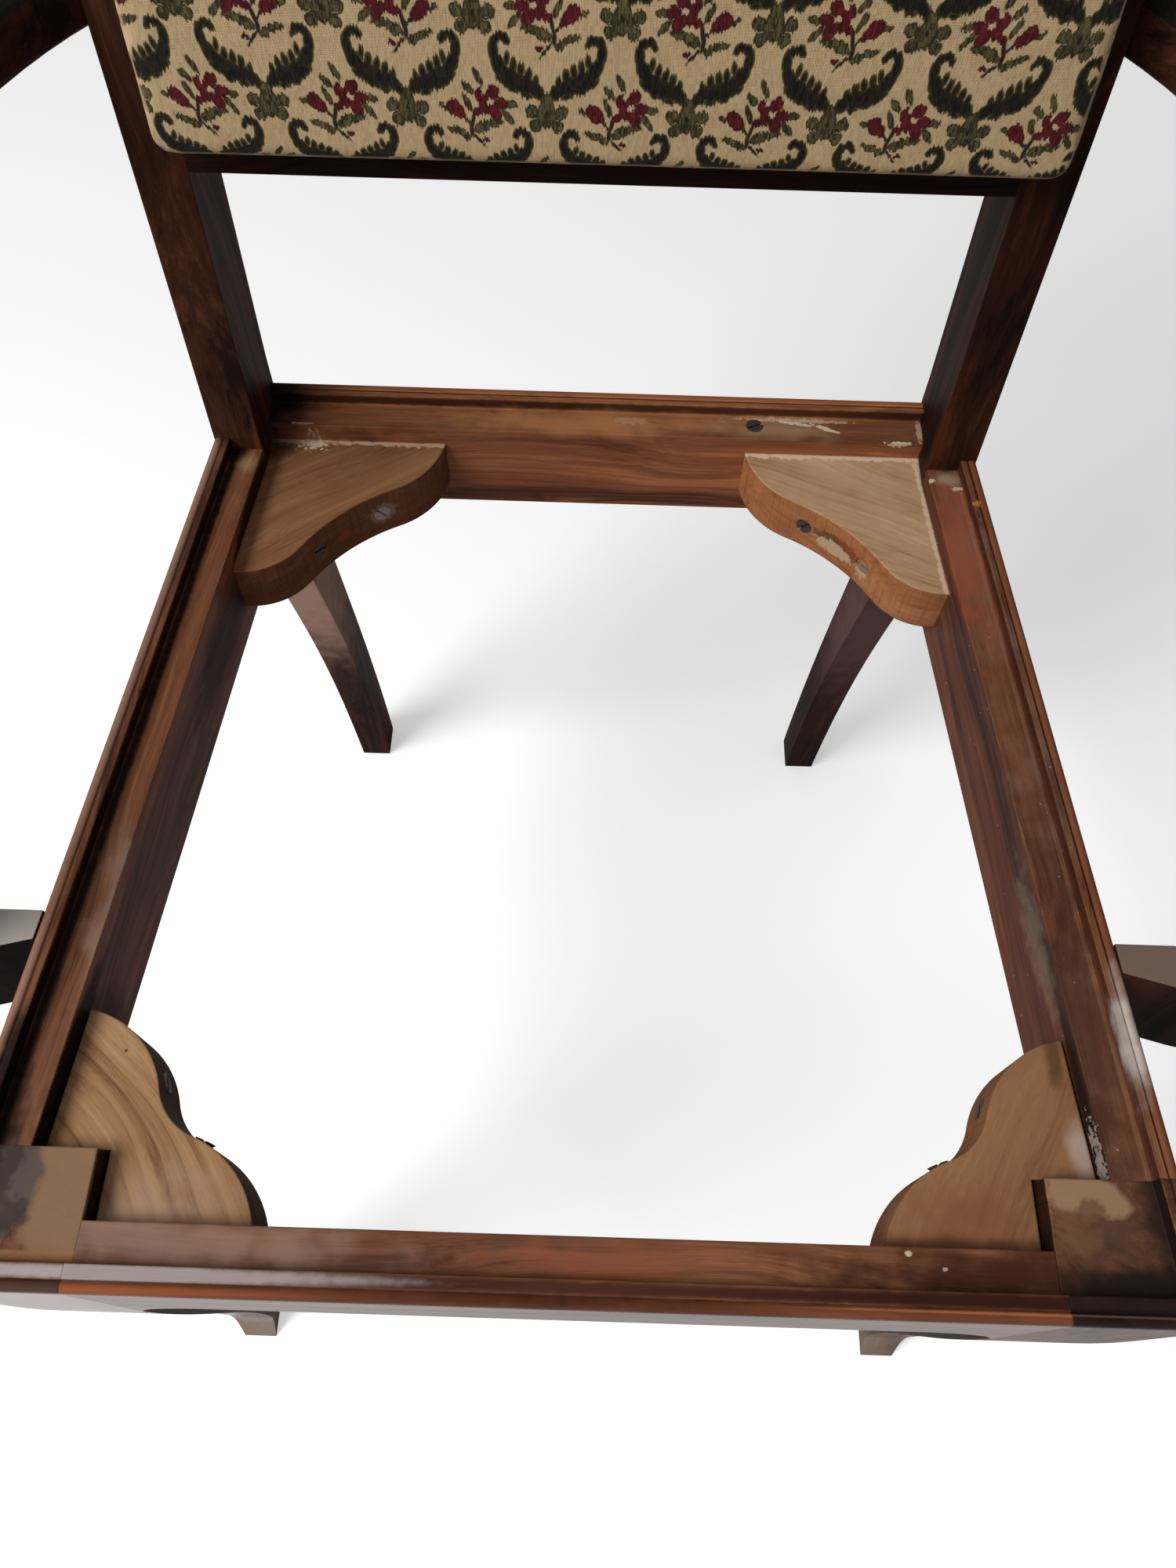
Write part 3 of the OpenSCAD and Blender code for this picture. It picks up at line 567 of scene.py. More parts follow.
# %% Legs, posts, arms and back rails
stile = dict(dark=(26, 14, 10), middle=(58, 32, 21), light=(98, 55, 32), polish=0.55, gleam=0.05,
             worn=(112, 70, 46), wear=0.35, dusty=0.015)
leg_marks = {
    "left": [
        ((-200, -216, 432), (20, 30, 3), (136, 106, 80), 0.85, dict(Ragged=0.06, Soft=0.3)),
        ((-240, -212, 432), (33, 31, 3), (84, 72, 68), 0.92, dict(Ragged=0.05, Detail=90.0, Soft=0.15)),
        ((-232, -214, 432), (22, 26, 3), (52, 42, 40), 0.7, dict(Ragged=0.4, Detail=110.0, Soft=0.5)),
        ((-238, -222, 432), (18, 12, 3), (120, 102, 82), 0.6, BLOTCHY),
        ((-226, -196, 432), (20, 8, 3), (72, 58, 56), 0.6, BLOTCHY),
        line(-240, -239.4, 432, 2.6, 2.5, (156, 112, 70), 0.75),
        # Painted shade in the corner of the rebate.
        line(0, -242, 433, 1.1, 1.5, SOOT, 0.7),
        # Painted reflection: the pale grey on the lip.
        line(0, -245.2, 440, 3.2, 2, (168, 160, 160), 0.85),
        line(0, -251, 438, 3.4, 6, (66, 42, 36), 0.93, Soft=0.4),
    ],
    "right": [
        ((212, -214, 432), (34, 30, 3), (78, 56, 44), 0.85, BLOTCHY),
        ((203, -204, 432), (19, 11, 3), (154, 124, 94), 0.85,
         dict(Ragged=0.22, Detail=70.0, Soft=0.3, Turn=0.25)),
        ((206, -211, 432), (8, 5, 3), (104, 74, 52), 0.8, dict(Ragged=0.3, Detail=140.0, Soft=0.4)),
        ((200, -222, 432), (14, 14, 3), (124, 92, 62), 0.5, dict(BLOTCHY, Detail=160.0)),
        ((222, -240, 434), (60, 15, 7), (27, 20, 19), 0.95, STAINED),
        ((240, -214, 434), (20, 44, 8), (29, 22, 20), 0.9, STAINED),
        line(0, -245.2, 440, 4.6, 4, (28, 18, 15), 0.93, Soft=0.4),
        line(0, -250.6, 438, 5, 6, (22, 14, 12), 0.93, Soft=0.4),
        line(0, -249.2, 439.6, 0.6, 1.4, (128, 100, 84), 0.5, Detail=300.0),
    ],
}
post_marks = {
    "left": [((-161, 214, 446), (15, 29, 28), (26, 17, 14), 0.92, STAINED),
             # Painted light: a pale patch on the lower left back leg.
             ((-196, 200, 280), (60, 90, 150), (208, 168, 148), 0.95, dict(STAINED, Soft=0.9))],
    "right": [((184, 190, 440), (10, 20, 30), (20, 12, 10), 0.7, BLOTCHY),
              # Painted light: a pale patch on the lower right back leg.
              ((196, 200, 250), (60, 90, 150), (124, 92, 88), 0.8, dict(STAINED, Soft=0.9))],
}
# Painted light and shade: the back legs' faces are tinted lighter on the left and darker on the right, by the
# way they look.
post_tint = {
    "left": [((1, 0, 0), (1.5, 1.1, 0.9)), (FRONT, (1.35, 1.4, 1.5))],
    "right": [((-1, 0, 0), (0.62, 0.55, 0.55)), (FRONT, (0.62, 0.6, 0.62))],
}
# Painted light on the supports' tops, paler on the left, and painted shade on their fronts, darkest on the
# left.
support_veil = {"left": (178, 170, 162), "right": (122, 104, 94)}
support_front = {"left": (0.1, 0.12, 0.14), "right": (0.5, 0.4, 0.45)}
# Painted shade: the notch tint darkens the front legs' faces that sit in the blocks' notches.
UPRIGHT, NOTCH, BACKWARD, ABOVE = (0, 90, 0), (0.1, 0.08, 0.08), (0, 1, 0), (0, 0, 1)
for side, flip in (("left", 1), ("right", -1)):
    foot = ((-200 * flip, -245, 10), (60, 60, 60), (150, 138, 124), 0.7, dict(STAINED, Soft=0.9))
    dress("front_leg_" + side, timber(
        "front leg " + side, turn=UPRIGHT, cut=(0.2 * flip, 0.1, 0.3),
        faces=[((flip, 0, 0), NOTCH), (BACKWARD, NOTCH)],
        gloss=(FRONT, show[side], POLISHED), marks=leg_marks[side] + [foot], **rail_look))
    dress("back_leg_" + side, timber(
        "back leg " + side, turn=UPRIGHT, cut=(0.1, 0.4 * flip, 0.2), faces=post_tint[side],
        marks=post_marks[side], **stile))
    # Painted shade: the arms' tops are tinted darker.
    dress("arm_" + side, timber(
        "arm " + side, turn=(0, 0, 90), cut=(0.5, 0.2 * flip, 0.1), faces=[(ABOVE, (0.16, 0.4, 0.6))],
        **stile))
    dress("arm_support_" + side, timber(
        "arm support " + side, turn=UPRIGHT, cut=(0.7, 0.1 * flip, 0.1), faces=[(FRONT, support_front[side])],
        veils=[(ABOVE, support_veil[side], 0.85)], **dict(stile, gleam=0.02)))
# Painted shade: faces that look up and forward are tinted darker.
dress("lower_back_rail", timber(
    "lower back rail", cut=(0.2, 0.6, 0.1), faces=[((0, -0.7, 0.7), (0.42, 0.46, 0.52))], **stile))
dress("crest_rail", timber("crest rail", cut=(0.9, 0.2, 0.5), **stile))

# %% [markdown]
# ## Corner blocks
#
# The blocks never saw any polish. They are bare hardwood, sawn to a double scroll with the
# grain running across the corner, and pale with dust on top. Their sawn edges took some
# stain on the left side of the chair and stayed orange on the right, and they are also
# painted with light and shade: much darker on the left, where they face away from the lamp,
# and only a little on the right, where they face it. A dark rim of painted shade deepens a
# chipped recess on the rear right block, and the top of the front right block is painted
# darker towards its front edge as shade. The wood round some of the screws was chipped away
# when they were driven in.

# %% Corner blocks
bare = dict(pores=0.4, polish=0.78, gleam=0.08, wear=0.5, edge=0.0016, saw=0.5)
ROUGH = dict(Ragged=0.5, Detail=300.0, Soft=0.5)
dress("rear_block_left", timber(
    "rear block left", (98, 62, 40), (132, 90, 60), (160, 116, 82), turn=(0, 0, -34), cut=(0.1, 0.2, 0.3),
    rings=0.1, figure=0.8, ring_gap=0.0035, dusty=0.2, dust_colour=(160, 124, 92), worn=(172, 134, 100),
    faces=[((0.5, -0.85, 0), (0.72, 0.6, 0.56))],
    marks=[((-118.6, 155.4, 406), (10, 8, 8), (150, 130, 108), 0.6, dict(BROKEN, Ragged=0.2)),
           ((-137.5, 138, 405), (5, 5, 4.5), (150, 76, 44), 0.8, BROKEN),
           line(-130, 193.4, 421, 2.2, 1.2, (196, 166, 134), 0.8, **ROUGH),
           ((-159, 191, 421), (8, 4, 3), (220, 204, 180), 0.8, dict(BROKEN, Ragged=0.6)),
           ((-184, 190, 415), (22, 20, 20), (22, 14, 11), 0.8, BLOTCHY)], **bare))
dress("rear_block_right", timber(
    "rear block right", (138, 102, 70), (174, 138, 104), (198, 166, 132), turn=(0, 0, 20),
    cut=(0.4, 0.3, 0.3), rings=0.12, figure=0.8, ring_gap=0.0035, dusty=0.35, dust_colour=(192, 164, 134),
    worn=(208, 184, 152), faces=[((-0.5, -0.85, 0), (0.95, 0.6, 0.42))],
    # Painted shade: the dark patch is a rim of shadow that makes the chipped recess look carved; the pale one
    # is the broken wood.
    marks=[((135, 142, 405.5), (20, 15, 8), (100, 60, 38), 0.8, dict(BROKEN, Ragged=0.2)),
           ((134, 142, 402.5), (17, 13, 5.5), (200, 172, 140), 0.8, dict(BROKEN, Ragged=0.25)),
           ((143, 136, 409), (7, 6, 3.5), (136, 72, 46), 0.9, BROKEN),
           ((149.2, 128.1, 402), (6, 5, 5), (190, 164, 132), 0.65, BROKEN),
           line(130, 193.4, 421, 2.6, 1.4, (214, 190, 160), 0.85, **ROUGH),
           line(201, -38.5, 421, 1.8, 1.4, (210, 186, 156), 0.8, TAPER, **ROUGH)], **bare))
dress("front_block_left", timber(
    "front block left", (112, 76, 50), (156, 118, 82), (180, 145, 108), turn=(0, 0, 62),
    cut=(-0.137, 0.25, 0.3), rings=0.22, figure=0.85, arch=1.9, ring_gap=0.008, dusty=0.12,
    dust_colour=(168, 136, 106), worn=(172, 140, 106), faces=[((0.85, 0.5, 0), (0.2, 0.16, 0.16))],
    marks=[((-191.3, -156.2, 421), (1.1, 1.1, 2), (76, 66, 40), 0.9, EVEN),
           ((-164, -224, 421), (44, 30, 4), (168, 142, 120), 0.6, BLOTCHY)], **bare))
dress("front_block_right", timber(
    "front block right", (116, 78, 52), (142, 101, 69), (160, 119, 83), turn=(0, 0, -66),
    cut=(0.6, 0.9, 0.3), rings=0.1, figure=0.6, ring_gap=0.008, dusty=0.12, dust_colour=(156, 124, 94),
    worn=(164, 126, 90), faces=[((-0.85, 0.5, 0), (0.92, 0.8, 0.78))],
    marks=[((211, -188, 421), (7, 20, 3), (184, 168, 158), 0.6, BLOTCHY),
           ((206, -145, 421), (5, 22, 4), (58, 36, 26), 0.6, BLOTCHY),
           # Painted shade: the block's top darkens towards its front edge.
           ((158, -212, 421), (52, 22, 4), (124, 76, 50), 0.6, BLOTCHY),
           ((160, -224, 421), (60, 5, 4), (90, 60, 44), 0.7, BLOTCHY)], **bare))

# %% [markdown]
# ## Screws and dowels
#
# The slotted screws are old steel, gone brown. Rust is a colour noise over a dull metal.
# Two heads at the back were scraped bright by the screwdriver.

# %% Screws and dowels
rusty, tree, shader = new_finish("browned steel")
where = node(tree, "TexCoord").outputs["Object"]
bloom = noise(tree, where, 700, 4, 0.65)
metal = blend(tree, step(tree, bloom, 0.38, 0.62), paint(74, 60, 52), paint(46, 30, 24))
for spot, shade in (((-0.1186, 0.1554, 0.406), (158, 146, 130)), ((0.1495, 0.1283, 0.406), (150, 112, 92))):
    scraped = place(tree, patch, Position=where, Centre=spot, Half_size=(0.009, 0.009, 0.009), Ragged=0.5,
                    Detail=500.0, Soft=0.3)
    metal = blend(tree, scraped["Mask"], metal, paint(*shade))
fill(tree, shader, Base_Color=metal, Metallic=step(tree, bloom, 0.62, 0.36, 0.0, 0.5),
     Roughness=step(tree, bloom, 0.3, 0.7, 0.5, 0.85), Normal=relief(tree, 0.4, 0.0002, bloom))
for screws in ("block_screws", "ledge_screw"):
    dress(screws, rusty)
beech = timber("beech dowel", (150, 112, 76), (184, 146, 104), (206, 172, 130), polish=0.6, wear=0.0)
for dowels in ("seat_frame_dowels", "back_frame_dowels", "arm_frame_dowels"):
    dress(dowels, beech)

# %% [markdown]
# ## The back pad as cloth
#
# The pad is a firm cushion over webbing. Its cover is pulled tight, but it still swells a
# little between its edges. Its form is a stack of rounded outlines, from its back to its
# crown, laid along the slope of the back. It is remeshed to even squares, and Blender's
# cloth blows it up under light pressure with no gravity. A cap on how far a point may move
# keeps it inside its welt. On this chair the pad sits 3.5 mm right of the middle.


# %% Helpers for pieces
def piece_from(name, mesh):
    """Makes an edit mesh a piece of the scene."""
    data = bpy.data.meshes.new(name)
    mesh.to_mesh(data)
    thing = bpy.data.objects.new(name, data)
    bpy.context.scene.collection.objects.link(thing)
    return thing


def with_modifiers(thing):
    """Turns what the modifiers make into the piece's own mesh."""
    graph = bpy.context.evaluated_depsgraph_get()
    made = bpy.data.meshes.new_from_object(thing.evaluated_get(graph))
    thing.modifiers.clear()
    thing.data = made


def thicken(thing, thickness):
    thick = thing.modifiers.new("thickness", "SOLIDIFY")
    thick.thickness, thick.offset = thickness, 0
    with_modifiers(thing)


def corners(thing):
    found = np.empty(len(thing.data.vertices) * 3)
    thing.data.vertices.foreach_get("co", found)
    return found.reshape(-1, 3)


RAKE = math.radians(6.7)
OUT = Vector((0, -math.cos(RAKE), math.sin(RAKE)))
UP = Vector((0, math.sin(RAKE), math.cos(RAKE)))
SEAT = Vector((0, 0.176, 0.44))


def on_back(x, up, out):
    """A place on the raked back in mm: to the right, up its slope and out of its front."""
    return SEAT + Vector((x * MM, 0, 0)) + UP * (up * MM) + OUT * (out * MM)


def on_corner(width, height, corner, quarter, angle):
    """A point on a rounded corner of an outline. Quarter 0 is the upper right one."""
    sx, sy = ((1, 1), (-1, 1), (-1, -1), (1, -1))[quarter % 4]
    across = (width / 2 - corner) * sx + corner * math.cos(angle)
    return across, (height / 2 - corner) * sy + corner * math.sin(angle)


print("the back leans by", round(math.degrees(RAKE), 1), "degrees")

# %% Cloth pad
# Outlines from the back of the pad, round its firm edge, to the crown: inset and depth, mm
PROFILE = [(20, 3.4), (1.2, 3.5), (0, 5), (1.5, 10), (3.6, 18), (4.6, 22), (5.2, 23.6), (6.3, 24.5),
           (8, 24.8), (20, 25.1), (45, 25.6), (85, 25.9)]
SHIFT, LOW, HIGH, WIDTH = 3.5, 160.2, 380.0, 389.6
ROUND = 28
FRAMES, MOST_SWELL = 20, 0.0008


def pad_ring(inset, out):
    corner = max(13 - 1.15 * inset, 3)
    for k in range(ROUND):
        angle = math.pi / 2 * (k // 7 + (k % 7) / 6)
        x, up = on_corner(WIDTH - 2 * inset, HIGH - LOW - 2 * inset, corner, k // 7, angle)
        yield on_back(SHIFT + x, (LOW + HIGH) / 2 + up, out)


mesh = bmesh.new()
rings = [[mesh.verts.new(spot) for spot in pad_ring(*ring)] for ring in PROFILE]
for one, two in zip(rings, rings[1:]):
    for k in range(ROUND):
        mesh.faces.new((one[k], one[(k + 1) % ROUND], two[(k + 1) % ROUND], two[k]))
mesh.faces.new(rings[0][::-1])
mesh.faces.new(rings[-1])
bmesh.ops.recalc_face_normals(mesh, faces=mesh.faces)
pad = piece_from("tapestry_pad", mesh)
even = pad.modifiers.new("even squares", "REMESH")
even.mode, even.voxel_size = "VOXEL", 0.0032
with_modifiers(pad)
rest = corners(pad)
cloth = pad.modifiers.new("swell", "CLOTH")
cloth.settings.quality = 6
cloth.settings.mass = 0.3
cloth.settings.tension_stiffness = cloth.settings.compression_stiffness = 30
cloth.settings.bending_stiffness = 3
cloth.settings.use_pressure = True
cloth.settings.uniform_pressure_force = 2
cloth.settings.effector_weights.gravity = 0
cloth.point_cache.frame_start, cloth.point_cache.frame_end = 1, FRAMES
for number in range(1, FRAMES + 1):
    bpy.context.scene.frame_set(number)
with_modifiers(pad)
moved = corners(pad) - rest
far = np.linalg.norm(moved, axis=1, keepdims=True)
print("cloth moved up to", round(far.max() / MM, 1), "mm before the cap")
moved *= np.minimum(1, MOST_SWELL / np.maximum(far, 1e-9))
pad.data.vertices.foreach_set("co", (rest + moved).ravel())
bpy.context.scene.frame_set(1)
smooth = pad.modifiers.new("fine", "SUBSURF")
smooth.levels = smooth.render_levels = 1
with_modifiers(pad)
pad.data.polygons.foreach_set("use_smooth", [True] * len(pad.data.polygons))
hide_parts("back_pad")
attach(pad, "root")
print("pad:", len(pad.data.vertices), "points")

# %% [markdown]
# ## Floral tapestry
#
# The cover is a common kind of furnishing tapestry: beige ribbed cloth with feathered dark
# green leaves that meet at rosettes and ring small sprigs of burgundy flowers. Rows are
# half a repeat apart, and every second row is mirrored. The motif is drawn once, in
# millimetres, from leaf shapes, and folded over and over across the pad.
#
# Each shape is one petal: a centre, a turn, a half length and a half width. A chain of
# petals keeps the smallest distance to any of them, so overlapping petals fuse.

# %% Group: one petal
petal, takes, gives = new_group(
    "petal",
    [("Place", "Vector", None), ("Centre", "Vector", (0, 0, 0)), ("Turn", "Float", 0.0),
     ("Length", "Float", 3.0), ("Width", "Float", 1.5), ("So far", "Float", 99.0)],
    [("Distance", "Float")],
)
off = moves(petal, "SUBTRACT", takes["Place"], takes["Centre"])
off = node(petal, "VectorRotate", off, (0, 0, 0), (0, 0, 1), times(petal, takes["Turn"], -1.0)).outputs[0]
size = vector(petal, takes["Length"], takes["Width"], 1.0)
radius = moves(petal, "LENGTH", moves(petal, "DIVIDE", off, size))
gap = times(petal, less(petal, radius, 1.0), takes["Width"])
feed(petal, gives["Distance"], sums(petal, "MINIMUM", gap, takes["So far"]))


def petals(tree, where, shapes):
    distance = 99.0
    for x, y, turn, length, width in shapes:
        distance = place(tree, petal, Place=where, Centre=(x, y, 0), Turn=math.radians(turn),
                         Length=length, Width=width, So_far=distance)["Distance"]
    return distance


print("petal group:", len(petal.nodes), "nodes")


# %% Group: the motif
REPEAT, ROW = 56.3, 34.6
# Each petal: place across and up, turn in degrees, half length and half width
ROSETTE = [(0, 0.5, 90, 5.6, 3.6), (6, 1.2, 0, 2.6, 2.6), (-6, 1.2, 0, 2.6, 2.6), (4.5, -4.1, 0, 2.5, 2.5),
           (-4.5, -4.1, 0, 2.5, 2.5), (0, 5.2, 90, 3, 2.4), (0, 0, 0, 4.8, 2.4)]
LEAF = [(1.8, 6.6, 66, 3.4, 1.3), (4.6, 9.4, 45, 4.4, 2.7), (9.2, 10.6, 12, 5, 3.4), (14.4, 12.8, 30, 5, 3.8),
        (18.7, 17.2, 62, 5, 2.8), (20.9, 22.6, 86, 4.4, 2), (20, 26.6, 130, 2.8, 1.8),
        (17.3, 27.6, 190, 2.4, 1.8), (15.7, 26.2, 240, 1.8, 1.4), (4.6, 12.2, 98, 2.6, 1.3),
        (7.4, 14.3, 98, 3, 1.5), (10.4, 15.8, 98, 3, 1.5), (13.3, 17.4, 98, 3, 1.4),
        (15.8, 19.8, 98, 2.8, 1.2), (8, 6.9, 5, 2.4, 1.2), (13.6, 8.9, 20, 2.4, 1.2),
        (18.6, 12.6, 50, 2.4, 1.2)]
BLOOM = [(6.5, 7.6, 60, 2.9, 2.5), (9.6, 3.5, 0, 2.8, 2.3), (7.2, -0.1, -50, 3.4, 2.3),
         (2.9, 2.4, 100, 3.2, 2.1), (1.4, 6.2, 100, 2.7, 2.1), (0.2, 0.1, 10, 2.1, 1.6), (4.5, 6.2, 0, 2, 2),
         (-8.6, 0.6, -38, 4.4, 2.6), (-9.4, 2.0, -38, 3, 2.4), (3.2, -10.6, 0, 1.5, 1)]
EYES = [(5.1, 4.0, 0, 1.0, 1.0), (3, 7.8, 60, 1.2, 0.7)]
GREENS = [(13.6, 3.2, 0, 2.8, 1.5), (12.4, -1.5, -50, 3.6, 1.3), (0.8, 12.9, 118, 3.6, 1.2),
          (-3.4, 9, 135, 3, 1.4), (-3.8, 3.5, 115, 3.6, 1.2), (5, -4.3, 8, 5.4, 1.6), (1.6, -6, 20, 3.4, 2),
          (-8, -7.6, -18, 4.8, 1.4), (-4.6, -9.6, 10, 1.8, 1.5), (-13.6, 1.6, 150, 2, 1)]
STEMS = [(-1.9, -3.4, 75, 3.4, 0.7), (-2.6, -7, 95, 2.6, 0.8), (0.4, -11, -48, 3.6, 0.6),
         (-4.4, -3, -38, 2.6, 0.6), (-1.2, -0.8, 60, 2, 0.6)]

PARTS = ("Leaf", "Rosette", "Bloom", "Eyes", "Greens", "Stems")
motif, takes, gives = new_group(
    "tapestry motif", [("Place", "Vector", None)], [(part, "Float") for part in PARTS])
across, upward, _ = node(motif, "SeparateXYZ", takes["Place"]).outputs


def folded(tree, shift):
    """Place in one repeat, and whether its row is mirrored. shift is a share of a row."""
    share = plus(tree, sums(tree, "DIVIDE", upward, ROW), shift)
    row = sums(tree, "FLOOR", share)
    high = times(tree, less(tree, less(tree, share, row), shift), ROW)
    odd = sums(tree, "FLOORED_MODULO", row, 2.0)
    wide = less(tree, across, times(tree, odd, REPEAT / 2))
    return wide, high, odd


def wrapped(tree, wide):
    return sums(tree, "WRAP", wide, REPEAT / 2, -REPEAT / 2)


wide, high, _ = folded(motif, 0.0)
side_on = sums(motif, "ABSOLUTE", wrapped(motif, wide))
feed(motif, gives["Leaf"], petals(motif, vector(motif, side_on, high, 0.0), LEAF))
wide, high, odd = folded(motif, 0.5)
centred = vector(motif, wrapped(motif, wide), high, 0.0)
feed(motif, gives["Rosette"], petals(motif, centred, ROSETTE))
beside = wrapped(motif, less(motif, wide, REPEAT / 2))
beside = times(motif, beside, scaled(motif, odd, -2.0, 1.0))
sprig = vector(motif, beside, high, 0.0)
for part, shapes in (("Bloom", BLOOM), ("Eyes", EYES), ("Greens", GREENS), ("Stems", STEMS)):
    feed(motif, gives[part], petals(motif, sprig, shapes))
print("motif:", len(motif.nodes), "nodes")

# %% [markdown]
# ## Weaving it
#
# A jacquard cloth can only change colour from rib to rib, so every outline is combed into
# upright teeth. Each rib, 0.62 mm wide, slides the motif up or down by its own amount. The
# pattern follows the cloth round the sides of the pad by the depth it has gone back.
#
# Nobody pulls a cover over a pad quite evenly. Here the pattern is a little narrower low
# down than high up, leans and bows to one side, sinks to the right by 13 mm in a metre, and
# its lowest rows are drawn in under the pad. The numbers for this are scales and shifts
# that put each rosette where it is on this chair.

# %% Tapestry finish
CROWN, RIB, WEFT, STITCH = 0.019, 0.62, 0.5, 2.2
TEETH, SLACK = 1.3, 1.5
ACROSS_SCALE, OFFSET, BOW = 1.0036, -0.55, -0.000065
SCALE_AT_SEAT, SCALE_PER_MM, STEADY_FROM = 1.0943, -0.000493, 225.0
START, LEAN_PER_MM = 28.5, -0.0266
UP_SCALE, SINK, FIRST_ROW = 0.9788, 0.0134, -182.6
DRAWN_BELOW, DRAWN_IN = 178.0, 0.04

tapestry, tree, shader = new_finish("floral tapestry")
where = node(tree, "TexCoord").outputs["Object"]
facing = node(tree, "NewGeometry").outputs["Normal"]
from_seat = moves(tree, "SUBTRACT", where, tuple(SEAT))
outward, upward = dot(tree, facing, tuple(OUT)), dot(tree, facing, tuple(UP))

# The cover's own directions in mm: warp is measured across the back, weft up it
rolled = sums(tree, "MAXIMUM", less(tree, CROWN, dot(tree, from_seat, tuple(OUT))), 0.0)
level = scaled(tree, upward, rolled, dot(tree, from_seat, tuple(UP)))
sideways = node(tree, "SeparateXYZ", facing).outputs[0]
sideways = scaled(tree, sideways, rolled, node(tree, "SeparateXYZ", from_seat).outputs[0])
ease = times(tree, less(tree, noise(tree, where, 9, 1), 0.5), SLACK)
warp = scaled(tree, sideways, 1000.0, ease)
weft = scaled(tree, level, 1000.0, times(tree, ease, 0.6))

# Where the drawn motif lies under each stitch
rib = sums(tree, "FLOOR", sums(tree, "DIVIDE", warp, RIB))
comb = node(tree, "TexWhiteNoise", noise_dimensions="1D")
feed(tree, comb.inputs["W"], rib)
teeth = times(tree, less(tree, comb.outputs["Value"], 0.5), TEETH)
bowed = times(tree, times(tree, warp, warp), BOW)
straight = plus(tree, scaled(tree, warp, ACROSS_SCALE, OFFSET), bowed)
high = sums(tree, "MINIMUM", weft, STEADY_FROM)
pulled = times(tree, straight, scaled(tree, high, SCALE_PER_MM, SCALE_AT_SEAT))
pulled = plus(tree, pulled, scaled(tree, high, LEAN_PER_MM, START))
sunk = scaled(tree, warp, SINK, FIRST_ROW)
raised = scaled(tree, weft, UP_SCALE, sunk)
under = sums(tree, "MAXIMUM", less(tree, DRAWN_BELOW, weft), 0.0)
raised = less(tree, raised, times(tree, times(tree, under, under), DRAWN_IN))
drawn = vector(tree, pulled, plus(tree, raised, teeth), 0.0)
shape = place(tree, motif, Place=drawn)

# The yarn: ribs, rows, and a shade of its own for every stitch
ribs = scaled(tree, sums(tree, "SINE", times(tree, warp, 2 * math.pi / RIB)), 0.5, 0.5)
rows = scaled(tree, sums(tree, "SINE", times(tree, weft, 2 * math.pi / WEFT)), 0.5, 0.5)
mottle = noise(tree, where, 60, 4, 0.6)
stitch = node(tree, "TexWhiteNoise", noise_dimensions="2D")
stitch_row = sums(tree, "FLOOR", sums(tree, "DIVIDE", weft, STITCH))
feed(tree, stitch.inputs["Vector"], vector(tree, rib, stitch_row, 0.0))
yarn = plus(tree, times(tree, ribs, 0.2), times(tree, mottle, 0.4))
yarn = scaled(tree, stitch.outputs["Value"], 0.4, yarn)


def woven(colour, name, shades, rim, lighter):
    """Lays one part of the motif over the colour so far, paler along its combed rim."""
    distance = shape[name]
    inner = blend(tree, step(tree, yarn, 0.3, 0.75), paint(*shades[0]), paint(*shades[1]))
    inner = blend(tree, step(tree, distance, -rim, 0.2), inner, paint(*lighter))
    return blend(tree, step(tree, distance, 0.35, -0.15), colour, inner)


ground = blend(tree, step(tree, yarn, 0.1, 0.9), paint(178, 151, 113), paint(205, 178, 136))
colour = woven(ground, "Leaf", ((10, 9, 8), (42, 36, 22)), 0.9, (84, 76, 40))
colour = woven(colour, "Rosette", ((44, 38, 22), (104, 94, 58)), 0.9, (34, 28, 18))
colour = blend(tree, step(tree, shape["Rosette"], -2.5, -3.1), colour, paint(36, 30, 18))
colour = woven(colour, "Greens", ((36, 32, 17), (104, 94, 56)), 0.7, (40, 34, 20))
colour = woven(colour, "Stems", ((32, 24, 17), (56, 44, 30)), 0.3, (60, 46, 30))
colour = woven(colour, "Bloom", ((58, 10, 14), (108, 30, 34)), 0.8, (54, 20, 18))
colour = blend(tree, step(tree, shape["Eyes"], 0.3, -0.2), colour, paint(196, 168, 134))
# Painted highlight: a pale band where the cover rolls round the pad's edge.
fold = times(tree, step(tree, outward, 0.9, 0.76), step(tree, outward, 0.4, 0.6))
colour = blend(tree, times(tree, fold, 0.6), colour, paint(206, 178, 140))
pile = plus(tree, times(tree, ribs, 0.6), times(tree, rows, 0.4))
pile = plus(tree, pile, step(tree, shape["Leaf"], 0.4, -0.4, 0.0, 0.8))
fill(tree, shader, Base_Color=colour, Roughness=0.92, Specular_IOR_Level=0.2, Sheen_Weight=0.04,
     Sheen_Roughness=0.5, Normal=relief(tree, 0.5, 0.0003, pile))
dress(pad, tapestry)
print("tapestry:", len(tree.nodes), "nodes")

# %% [markdown]
# ## Welt round the pad
#
# A self-covered cord closes the cover against the frame. It is a bevelled curve, because a
# cord is a line with a thickness. A slight wander keeps it from looking turned on a lathe.


# %% Welt
def rounded_loop(width, height, corner, turns):
    """Points round an outline, about 9 mm apart on its straight sides."""
    points = []
    for quarter in range(4):
        for part in range(turns + 1):
            angle = math.pi / 2 * (quarter + part / turns)
            points.append(on_corner(width, height, corner, quarter, angle))
        start = points[-1]
        end = on_corner(width, height, corner, quarter + 1, math.pi / 2 * (quarter + 1))
        many = max(2, int(math.dist(start, end) / 9))
        points += [tuple(a + (b - a) * k / many for a, b in zip(start, end)) for k in range(1, many)]
    return points


